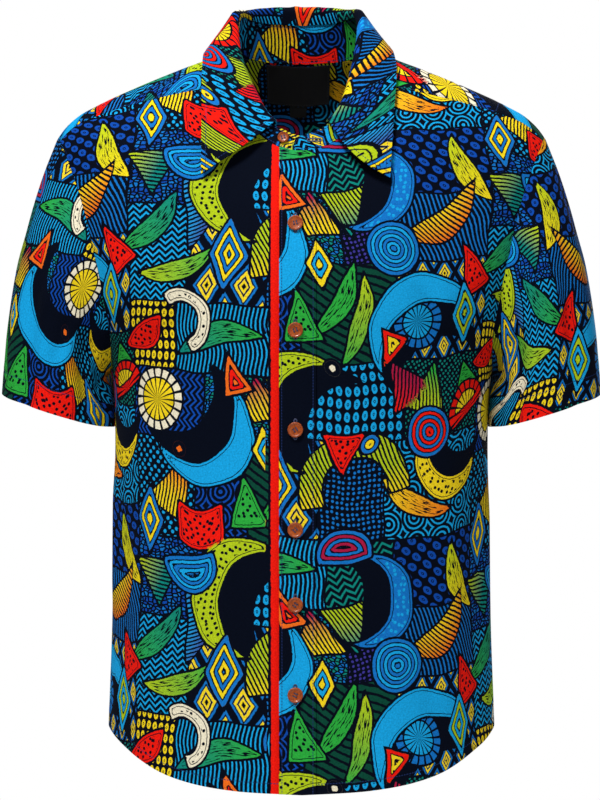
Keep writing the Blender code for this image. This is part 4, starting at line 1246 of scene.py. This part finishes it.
SLEEVE_FOLDS = (
    # turn, top, bottom, half_width, height
    (58, 0.30, 1.30, 0.011, -0.0042),
    (35, 0.20, 1.20, 0.016, 0.0020),
    (120, 0.00, 0.80, 0.014, -0.0030),
    (-60, 0.25, 1.30, 0.013, -0.0040),
    (-118, 0.00, 0.90, 0.016, -0.0030),
)
SLEEVE_CREASES = (
    # turn and run of one end, of the other, half width and height in mm
    (92, 0.10, 64, 0.62, 8, 1.4),
    (104, 0.30, 82, 0.86, 8, -1.4),
    (20, 0.10, 12, 0.60, 10, -1.0),
    (-8, 0.35, -14, 0.95, 12, 1.2),
    (132, 0.10, 100, 0.42, 7, 1.3),
    (-90, 0.15, -70, 0.66, 9, 1.5),
    (-104, 0.35, -88, 0.90, 8, -1.3),
    (-34, 0.40, -40, 1.00, 9, -1.1),
    (150, 0.25, 138, 0.80, 9, -1.3),
    (124, 0.05, 128, 1.10, 11, -2.2),
    (-146, 0.20, -138, 0.85, 9, 1.2),
)


def sleeve_sheet(turn, run):
    """Points of the wearer's left sleeve. turn is degrees round it, run goes from the armhole to the hem."""
    sign = np.where(turn < 0, -1.0, 1.0)
    around = np.abs(turn)
    below = 1 + np.sin(np.radians(np.clip(around - 90, 0, 90))) * ARMHOLE_FALL / (ARMHOLE_MIDDLE - HEM[-1][1])
    along = np.where(around <= 90, around / 90, below) * np.where(turn < 0, -1, 1)
    start, _ = cloth(np.ones_like(along), along)
    angle = np.radians(around)
    cuff = CUFF_CENTRE + np.cos(angle)[..., None] * CUFF_HALF_WIDTH
    cuff[..., 1] -= sign * CUFF_HALF_DEPTH * np.sin(angle)
    cuff[..., 2] -= CUFF_DROOP * np.sin(angle)
    length = np.linalg.norm(cuff - start, axis=-1)[..., None]
    leaving = [read(SLEEVE_WAYS, index, around) for index in (1, 2, 3)]
    leaving = unit(stack(leaving[0], -sign * leaving[1], -leaving[2]))
    arriving = unit(stack(read(SLEEVE_WAYS, 4, around), 0.0, -read(SLEEVE_WAYS, 5, around)))
    t = run[..., None]
    return (
        start * (1 + 2 * t) * (1 - t) ** 2
        + cuff * t**2 * (3 - 2 * t)
        + leaving * length * t * (1 - t) ** 2
        - arriving * length * t**2 * (1 - t)
    )


def sleeve_facing(turn, run):
    step = 1e-3
    around = sleeve_sheet(turn + 0.2, run) - sleeve_sheet(turn - 0.2, run)
    down = sleeve_sheet(turn, np.minimum(run + step, 1)) - sleeve_sheet(turn, np.maximum(run - step, 0))
    return unit(np.cross(around, down))


def sleeve_folds(turn, run):
    height = np.zeros(turn.shape)
    for middle, top, bottom, half_width, out in SLEEVE_FOLDS:
        away = np.radians(nearest_turn(turn - middle)) * SLEEVE_RADIUS
        share = (run - top) / (bottom - top)
        height += out * ease(share * 3) * ease((1 - share) * 3) * np.exp(-((away / half_width) ** 2))
    for turn_a, run_a, turn_b, run_b, half_width, out in SLEEVE_CREASES:
        along = np.array(((turn_b - turn_a) * SLEEVE_TURN_LENGTH, (run_b - run_a) * SLEEVE_RUN_LENGTH))
        spot = np.stack(((turn - turn_a) * SLEEVE_TURN_LENGTH, (run - run_a) * SLEEVE_RUN_LENGTH), axis=-1)
        height += SLEEVE_CREASE_DEPTH * out * MM * ridge(spot, along, half_width)
    pucker = np.sin(turn / 9.5 * 2 * math.pi + 2.1 * np.sin(turn / 31)) * (0.6 + 0.4 * np.sin(turn / 47 + 2))
    return height + 0.45 * MM * pucker * np.exp(-((run / 0.05) ** 2)) * ease(run / 0.015)


def resting(points, turn, run):
    """How far the inner side of the sleeve leans in before it rests on the body, sooner behind than in front."""
    half_width, depth = size_at(points[..., 2], points[..., 1] > 0)
    body = half_width * np.sqrt(np.clip(1 - (points[..., 1] / depth) ** 2, 0, 1)) + body_folds(points)
    room = np.clip(points[..., 0] - body - REST_GAP, 0, MOST_LEAN)
    lean = np.where(turn > 0, ease((turn - 150) / 22), ease((-turn - 118) / 42))
    return room * lean * ease((run - 0.1) / 0.3)


def make_sleeve(name, node, side, offset):
    turn, run = np.meshgrid(np.linspace(-180, 180, SLEEVE_COLUMNS + 1), np.linspace(0, 1, SLEEVE_ROWS + 1))
    facing = sleeve_facing(np.clip(turn, -179.7, 179.7), run)
    facing[:, 0] = facing[:, -1] = unit(facing[:, 0] + facing[:, -1])
    points = sleeve_sheet(turn, run)
    stitches = stitch_lines(points, hem=SLEEVE_HEM_STITCH)
    place = sheet_place(points, SLEEVE_COLUMNS * 5 // 8, -1) * (side, 1) + offset
    points = points + facing * (sleeve_folds(turn, run) + hem_ripple(stitches, place, 0.3, 15.0))[..., None]
    points[..., 0] -= resting(points, turn, run)
    points[:, -1] = points[:, 0]
    points = pull_in(points, GAP * 0.35)
    points[0] += unit(points[1] - points[0]) * GAP * 0.65
    mirror = np.array((side, 1, 1))
    materials, wall = (right_side, wrong_side), hem_wall(stitches)
    return sew(name, node, points * mirror, facing * mirror, place, stitches, materials, wall)


make_sleeve("left_sleeve", "sleeve_left", 1, LEFT_SLEEVE_CUT)
make_sleeve("right_sleeve", "sleeve_right", -1, RIGHT_SLEEVE_CUT)

# %% [markdown]
# ## Collar
# A shirt collar has two pieces: a stand, a curved band sewn to the neck seam, and a leaf that is sewn to its top,
# rolls over and falls to two points. The neck button is undone, so the buttonhole end of the stand just lies over
# the other. Both are doubled cloth and show the print's right side on both faces. The leaf is topstitched 5 mm in.

# %% Collar
STAND_HEIGHT = (
    # round, height
    (0, 0.0400),
    (30, 0.0398),
    (60, 0.0378),
    (90, 0.0324),
    (120, 0.0298),
    (135, 0.0272),
    (150, 0.0213),
    (158, 0.0196),
    (165, 0.0196),
    (172, 0.0184),
    (180, 0.0162),
    (184, 0.0130),
    (188, 0.0040),
)
STAND_LEAN = (
    # round, degrees inward
    (0, 8),
    (45, 15),
    (68, 22),
    (90, 25),
    (115, 26),
    (138, 25),
    (158, 20),
    (188, 17),
)
STAND_SHIFT = -0.0035
LEAF_EDGE = (
    # round, x_right, x_left, y_right, y_left
    (0, 0.0000, 0.0000, 0.0900, 0.0900),
    (30, 0.0500, 0.0500, 0.0810, 0.0810),
    (60, 0.0840, 0.0820, 0.0500, 0.0500),
    (90, 0.0960, 0.0895, 0.0020, 0.0020),
    (115, 0.1003, 0.0958, -0.0400, -0.0400),
    (137, 0.1008, 0.0936, -0.0730, -0.0750),
    (158, 0.1003, 0.0886, -0.1024, -0.1051),
)
LEAF_ROLL = (
    # round, rise over the stand, radius
    (0, 0.0125, 0.0060),
    (30, 0.0088, 0.0057),
    (60, 0.0012, 0.0049),
    (90, 0.0002, 0.0043),
    (130, 0.0010, 0.0038),
    (158, 0.0010, 0.0032),
)
LEAF_LIFT, LEAF_SWELL_SIDE, LEAF_SWELL_FRONT = 7.0 * MM, 2.5 * MM, 5.0 * MM
LEAF_BULGE_LEFT, LEAF_BULGE_RIGHT, LEAF_BULGE_WAY = 10 * MM, 4 * MM, (-0.62, -0.30, -0.72)
LEAF_STITCH, STAND_STITCH = 5.0, 2.0
STAND_CUT, LEAF_CUT = (-105, 35), (-60, 150)
COLLAR_COLUMNS, DOUBLED_WALL = 300, 1.1 * MM


def stand_sheet(around, up):
    """Points of the collar stand's outer face. around is signed degrees from the back, up goes from 0 to 1."""
    size = np.abs(around)
    seam_x, seam_y = neck_oval(around)
    across, along = seen_from_above(seam_x, seam_y)
    foot, _ = cloth(across, along, np.where(around > 90, layer_lift(seam_x), 0.0))
    lean = np.radians(read(STAND_LEAN, 1, size))
    inward = -unit(stack(np.sin(np.radians(around)), np.cos(np.radians(around)), 0.0))
    way = inward * np.sin(lean)[..., None] + stack(0.0, 0.0, np.cos(lean))
    height = read(STAND_HEIGHT, 1, size) * up
    shift = STAND_SHIFT * (1 - ease((size - 100) / 50)) * up**2
    return foot + way * (height + GAP)[..., None] + stack(shift, 0.0, 0.0)


def stand_facing(around, up):
    low, high = np.clip(up - 0.3, 0, 1), np.clip(up + 0.3, 0, 1)
    sideways = stand_sheet(around + 1, up) - stand_sheet(around - 1, up)
    return unit(np.cross(stand_sheet(around, high) - stand_sheet(around, low), sideways))


def leaf_sheet(around, out):
    """Points of the leaf's upper face: up from the stand's inner face, over the roll and down to its edge."""
    size = np.abs(around)
    top = np.ones_like(size)
    facing = stand_facing(around, top)
    foot = stand_sheet(around, top) - facing * CLOTH
    up = unit(stand_sheet(around, top) - stand_sheet(around, top * 0.5))
    foot = foot + up * GAP * 1.6
    rise, radius = read(LEAF_ROLL, 1, size), read(LEAF_ROLL, 2, size)
    turn = np.clip(out / 0.4, 0, 1) * math.radians(150)
    level = (rise * np.clip(out / 0.1, 0, 1) + radius * np.sin(turn))[..., None]
    roll = foot + up * level + facing * (radius * (1 - np.cos(turn)))[..., None]
    edge_x = np.where(around > 0, read(LEAF_EDGE, 2, size), -read(LEAF_EDGE, 1, size))
    edge_y = np.where(around > 0, read(LEAF_EDGE, 4, size), read(LEAF_EDGE, 3, size))
    border, border_facing = cloth(*seen_from_above(edge_x, edge_y), LEAF_LIFT)
    fall = np.clip((out - 0.4) / 0.6, 0, 1)[..., None]
    swell = LEAF_SWELL_SIDE + (LEAF_SWELL_FRONT - LEAF_SWELL_SIDE) * ease((size - 90) / 50)
    bulge = np.where(around > 0, LEAF_BULGE_LEFT, LEAF_BULGE_RIGHT) * ease((size - 105) / 50)
    aside = np.sign(around)[..., None] * np.array(LEAF_BULGE_WAY) * (1, 0, 0) + np.array(LEAF_BULGE_WAY) * (0, 1, 1)
    swell = np.sin(fall * math.pi) * swell[..., None] * unit(border_facing + facing)
    return roll + (border - roll) * fall + swell + np.sin(fall * math.pi) * bulge[..., None] * aside


def leaf_facing(around, out):
    step = 0.01
    sideways = leaf_sheet(around + 0.5, out) - leaf_sheet(around - 0.5, out)
    onward = leaf_sheet(around, np.minimum(out + step, 1)) - leaf_sheet(around, np.maximum(out - step, 0))
    return unit(np.cross(onward, sideways))


def make_stand():
    turns = np.linspace(-at_neck(-UNDERLAP_EDGE), at_neck(STAND_TIP), COLLAR_COLUMNS + 1)
    around, up = np.meshgrid(turns, np.linspace(0, 1, 22))
    points, facing = stand_sheet(around, up), stand_facing(around, up)
    place = sheet_place(points[::-1], COLLAR_COLUMNS // 2)[::-1] + STAND_CUT
    stitches = stitch_lines(points, hem=2.2, top=STAND_STITCH, first=STAND_STITCH, last=STAND_STITCH)
    return sew("stand_band", "collar_stand", points, facing, place, stitches, (right_side, right_side), DOUBLED_WALL)


def make_leaf():
    runs = np.append(np.linspace(0, 0.4, 25), np.linspace(0.4, 1, 49)[1:])
    around, out = np.meshgrid(np.linspace(-LEAF_END, LEAF_END, COLLAR_COLUMNS + 1), runs)
    points, facing = leaf_sheet(around, out), leaf_facing(around, out)
    place = sheet_place(points, COLLAR_COLUMNS // 2) + LEAF_CUT
    stitches = stitch_lines(points, hem=LEAF_STITCH, first=LEAF_STITCH, last=LEAF_STITCH)
    dip = -0.25 * MM * np.exp(-((np.minimum(np.abs(stitches[..., 0]), np.abs(stitches[..., 1])) / 1.4) ** 2))
    points = points + facing * dip[..., None]
    return sew("leaf_fall", "collar_leaf", points, facing, place, stitches, (right_side, right_side), DOUBLED_WALL)


make_stand()
make_leaf()

# %% [markdown]
# ## Label and size tab
# A woven label is stitched inside the back of the neck, with a small tab under it. Both are black satin and left
# bare: a part for a library carries nobody's name. Satin has long floats across it, so fine ribs catch the light.

# %% Label satin
RIB_PITCH = 0.8


def label_satin():
    satin_sockets = {"Roughness": 0.5, "Specular IOR Level": 0.2, "Sheen Weight": 0.02}
    material, tree, inputs = new_finish("label_satin", satin_sockets)
    flat = add(tree, "Attribute", attribute_name="cloth", output=1)
    mottle = add(tree, "TexNoise", flat, None, 0.3, 3.0)
    shade = add(tree, "MixRGB", mottle, linear("030304"), linear("0b0b0e"))
    thread, groove = stitched(tree)
    tree.links.new(add(tree, "MixRGB", thread, shade, linear("1d1e24")), inputs["Base Color"])
    _, down, _ = add(tree, "SeparateXYZ", flat).node.outputs
    ribs = sine_of(tree, down, math.tau / RIB_PITCH)
    height = add(tree, "Math", groove, -3.0, ribs, operation="MULTIPLY_ADD")
    tree.links.new(add(tree, "Bump", 0.4, BUMP_DISTANCE, None, height), inputs["Normal"])
    return material


satin = label_satin()


# %% Label and tab
LABEL_MIDDLE = -0.0036


def inside_back(x, below):
    """Points inside the yoke, that far below the neck seam along the cloth, and their inward direction."""
    across, start = neck_seam(np.degrees(np.arcsin(x / NECK_HALF_WIDTH)))
    along = np.zeros_like(x)
    for spot in np.ndindex(x.shape):
        line = start[spot] - np.linspace(0, 0.4, 200)
        steps = np.linalg.norm(np.diff(torso(across[spot], line), axis=0), axis=1)
        along[spot] = np.interp(below[spot], np.append(0, np.cumsum(steps)), line)
    return cloth(across, along)


def make_label(name, node, width, start, length, columns, rows, stitch):
    sideways = np.linspace(LABEL_MIDDLE - width / 2, LABEL_MIDDLE + width / 2, columns + 1)
    points, facing = inside_back(*np.meshgrid(sideways, np.linspace(start, start + length, rows + 1)))
    points = points - facing * (CLOTH + 3 * GAP)
    stitches = stitch_lines(points, hem=stitch, top=stitch, first=stitch, last=stitch)
    place = sheet_place(points, columns // 2)
    return sew(name, node, points, facing, place, stitches, (satin, satin), 0.8 * MM)


make_label("label_patch", "neck_label", 0.068, 1.5 * MM, 0.047, 28, 20, 1.6)
make_label("size_patch", "size_tab", 0.018, 48.5 * MM + GAP * 1.8, 0.012, 10, 8, -5.0)

# %% [markdown]
# ## Buttons
# The buttons are turned from coconut shell: a brown disc with a raised rim, a dished middle and four holes, with
# darker fibres in it. One is turned by spinning its profile, the holes are cut with a Boolean, and copies of it go to
# each place. Thread crosses between the holes. Each buttonhole is a slit with a close row of stitches round it.

# %% Coconut shell and thread
def coconut_shell():
    shell_sockets = {"Roughness": 0.42, "Coat Weight": 0.08, "Specular IOR Level": 0.3}
    material, tree, inputs = new_finish("coconut_shell", shell_sockets)
    spot = add(tree, "TexCoord", output=3)
    mottle = add(tree, "TexNoise", spot, None, 420.0, 4.0, 0.65)
    fibre = add(tree, "TexNoise", add(tree, "Mapping", spot, None, (0, 0.5, 0.4), (1900, 500, 500)), None, 1.0, 3.0)
    shade = add(tree, "MixRGB", edge(tree, mottle, 0.5, 0.3), linear("7c3006"), linear("a64c12"))
    dark = edge(tree, fibre, 0.62, 0.1)
    tree.links.new(add(tree, "MixRGB", dark, shade, linear("44200a")), inputs["Base Color"])
    tree.links.new(add(tree, "Bump", 0.3, BUMP_DISTANCE, None, fibre), inputs["Normal"])
    return material


def spun_thread():
    """Polyester thread is twisted. Its slanting ribs are painted into its colour as lighter and darker bands, which is
    painted highlight and shade, and a little sheen gives a soft shine.
    """
    material, tree, inputs = new_finish("spun_thread", {"Roughness": 0.6, "Sheen Weight": 0.2})
    spot = add(tree, "TexCoord", output=3)
    # Painted highlight and shade: lighter and darker blue bands stand in for light falling on the twisted ribs.
    ribs = add(tree, "TexWave", add(tree, "Mapping", spot, None, (0, 0.6, 0.8)), 1400.0)
    tree.links.new(add(tree, "MixRGB", ribs, linear("121a38"), linear("24345f")), inputs["Base Color"])
    return material


shell_brown, thread_blue = coconut_shell(), spun_thread()

# %% Buttons
BUTTON_RADIUS, NECK_BUTTON_RADIUS = 7.8 * MM, 5.8 * MM
BUTTON_THICKNESS = 3.0 * MM
HOLE_RADIUS, HOLE_SPREAD = 0.95 * MM, 2.1 * MM
STRAND_RADIUS, STRAND_SPACING, SHANK = 0.2 * MM, 0.28 * MM, 0.45 * MM
NECK_BUTTON_TURN = -165.6
PROFILE = (
    # share of the radius, share of the thickness
    (0.00, 0.00),
    (0.80, 0.00),
    (0.95, 0.12),
    (1.00, 0.42),
    (0.98, 0.78),
    (0.92, 0.96),
    (0.86, 1.00),
    (0.80, 0.95),
    (0.74, 0.80),
    (0.62, 0.72),
    (0.30, 0.70),
    (0.00, 0.70),
)


def turned_button(radius):
    """A button of that radius, its back at z = 0, with its four holes cut."""
    disc = bmesh.new()
    line = [disc.verts.new((radius * out, 0, BUTTON_THICKNESS * up)) for out, up in PROFILE]
    edges = [disc.edges.new(pair) for pair in zip(line, line[1:])]
    bmesh.ops.spin(
        disc, geom=line + edges, cent=(0, 0, 0), axis=(0, 0, 1), angle=2 * math.pi, steps=48, use_merge=True
    )
    bmesh.ops.remove_doubles(disc, verts=disc.verts[:], dist=0.001 * MM)
    bmesh.ops.recalc_face_normals(disc, faces=disc.faces[:])
    pins = bmesh.new()
    for quarter in range(4):
        angle = math.radians(45 + 90 * quarter)
        place = Vector((math.cos(angle), math.sin(angle), 0)) * HOLE_SPREAD
        bmesh.ops.create_cone(
            pins,
            cap_ends=True,
            segments=16,
            radius1=HOLE_RADIUS,
            radius2=HOLE_RADIUS,
            depth=BUTTON_THICKNESS * 3,
            matrix=Matrix.Translation(place),
        )
    body = bpy.data.objects.new("button_body", as_mesh(disc, "button_blank"))
    cutter = bpy.data.objects.new("button_cutter", as_mesh(pins, "button_pins"))
    for helper in (body, cutter):
        bpy.context.collection.objects.link(helper)
    cut = body.modifiers.new("holes", "BOOLEAN")
    cut.operation = "DIFFERENCE"
    cut.object = cutter
    view_layer = bpy.context.evaluated_depsgraph_get()
    made = bpy.data.meshes.new_from_object(body.evaluated_get(view_layer))
    for helper in (body, cutter):
        bpy.data.objects.remove(helper, do_unlink=True)
    return made


def button_thread(level):
    """Two thick bars of thread, each over a pair of holes."""
    bars = bmesh.new()
    for side in (-1, 1):
        for strand in (-1, 0, 1):
            across = side * HOLE_SPREAD * math.sin(math.radians(45)) + strand * STRAND_SPACING
            size = {"radius1": STRAND_RADIUS, "radius2": STRAND_RADIUS, "depth": HOLE_SPREAD * 2}
            made = bmesh.ops.create_cone(bars, cap_ends=True, segments=8, **size)["verts"]
            bmesh.ops.rotate(bars, verts=made, cent=(0, 0, 0), matrix=Matrix.Rotation(math.pi / 2, 3, "X"))
            bmesh.ops.translate(bars, verts=made, vec=(across, 0, level))
    return as_mesh(bars, "button_thread")


def set_down(name, mesh, placed, material):
    """An object of that mesh, with its place baked into it."""
    mesh = mesh.copy()
    mesh.name = name
    mesh.transform(placed)
    mesh.materials.clear()
    mesh.materials.append(material)
    mesh.shade_smooth()
    mesh.set_sharp_from_angle(angle=math.radians(40))
    piece = bpy.data.objects.new(name, mesh)
    bpy.context.collection.objects.link(piece)
    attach(piece, "root")
    return piece


def front_along(level):
    """along of the front's middle at that level."""
    if level > CHEST_MIDDLE:
        return np.array(math.acos((level - CHEST_MIDDLE) / (RIDGE[0][1] - CHEST_MIDDLE)) / (math.pi / 2))
    return np.array(1 + (CHEST_MIDDLE - level) / (CHEST_MIDDLE - HEM[0][1]))


def placed_at(place, facing, tilt):
    turn = Vector(facing).to_track_quat("Z", "Y").to_matrix().to_4x4() @ Matrix.Rotation(tilt, 4, "Z")
    return Matrix.Translation(Vector(place)) @ turn


front_button, neck_button = turned_button(BUTTON_RADIUS), turned_button(NECK_BUTTON_RADIUS)
crossing = button_thread(BUTTON_THICKNESS * 0.74)
LIFT = LAYER + GAP + CLOTH
for number, level in enumerate(BUTTON_LEVELS, start=1):
    along = front_along(level)
    place, facing = cloth(at_x(BUTTON_LINE, along), along, LIFT + SHANK)
    placed = placed_at(place, facing, math.radians(11 * number))
    button = set_down(f"shell_button_{number}", front_button, placed, shell_brown)
    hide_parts(f"button_{number}")
    set_down(f"thread_{number}", crossing, placed, thread_blue)
around, up = np.array(NECK_BUTTON_TURN), np.array(0.55)
facing = stand_facing(around, up)
placed = placed_at(stand_sheet(around, up) + facing * SHANK, facing, math.radians(20))
button = set_down("shell_button_neck", neck_button, placed, shell_brown)
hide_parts("button_neck")
set_down("thread_neck", crossing, placed, thread_blue)
print("button triangles:", sum(len(face.vertices) - 2 for face in front_button.polygons))


# %% Buttonholes
def buttonhole(length, width=1.3 * MM, height=0.35 * MM):
    """A long ring of close stitches round a slit, lying at z = 0 with its length along y."""
    ring = bmesh.new()
    bmesh.ops.create_circle(ring, segments=40, radius=1.0)
    for vertex in ring.verts:
        straight = length / 2 - width
        vertex.co = Vector((vertex.co.x * width, vertex.co.y * width + math.copysign(straight, vertex.co.y), 0))
    rail = [vertex.co.copy() for vertex in ring.verts]
    ring.free()
    tube = bmesh.new()
    sections = []
    for index, point in enumerate(rail):
        ahead = (rail[(index + 1) % len(rail)] - rail[index - 1]).normalized()
        aside = Vector((ahead.y, -ahead.x, 0))
        made = bmesh.ops.create_circle(tube, segments=8, radius=1.0)["verts"]
        for vertex in made:
            vertex.co = point + aside * vertex.co.x * width * 0.55 + Vector((0, 0, height * (vertex.co.y + 0.6)))
        sections.append(made)
    for one, other in zip(sections, sections[1:] + sections[:1]):
        loops = [
            edge_item
            for section in (one, other)
            for vertex in section
            for edge_item in vertex.link_edges
            if edge_item.other_vert(vertex) in section
        ]
        bmesh.ops.bridge_loops(tube, edges=list(dict.fromkeys(loops)))
    bmesh.ops.recalc_face_normals(tube, faces=tube.faces[:])
    return as_mesh(tube, "buttonhole")


upright = buttonhole(20 * MM)
for number, level in enumerate(BUTTON_LEVELS, start=1):
    along = front_along(level + 0.5 * MM)
    place, facing = cloth(at_x(BUTTON_LINE, along), along, LIFT)
    set_down(f"buttonhole_{number}", upright, placed_at(place, facing, 0), thread_blue)
around, up = np.array(170.0), np.array(0.52)
facing = stand_facing(around, up)
set_down(
    "buttonhole_neck",
    buttonhole(14 * MM),
    placed_at(stand_sheet(around, up), facing, math.radians(90)),
    thread_blue,
)

# %% [markdown]
# ## Sheets
# Every piece of cloth is listed with the piece that it hangs from, and its places on the flat cloth are read back
# from its mesh. Seam allowances aren't shown.

# %% Sheets
HANGS_FROM = {
    "left_front": ["shoulder_yoke"],
    "right_front": ["shoulder_yoke"],
    "placket_band": ["left_front"],
    "shoulder_yoke": [],
    "back_panel": ["shoulder_yoke"],
    "left_sleeve": ["shoulder_yoke"],
    "right_sleeve": ["shoulder_yoke"],
    "stand_band": ["shoulder_yoke"],
    "leaf_fall": ["stand_band"],
    "label_patch": ["shoulder_yoke"],
    "size_patch": ["label_patch"],
}
for name, rests in HANGS_FROM.items():
    mesh = PIECES[name].data
    flat = np.zeros(len(mesh.vertices) * 3)
    mesh.attributes["cloth"].data.foreach_get("vector", flat)

# %% Floor finish
pale, pale_tree, pale_inputs = new_finish("pale_floor", {"Roughness": 0.9})
speck = add(pale_tree, "TexNoise", add(pale_tree, "TexCoord", output=3), None, 60.0, 3.0)
tone = add(pale_tree, "MixRGB", speck, (0.90, 0.90, 0.90, 1), (0.94, 0.94, 0.94, 1))
pale_tree.links.new(tone, pale_inputs["Base Color"])
floor.data.materials.append(pale)
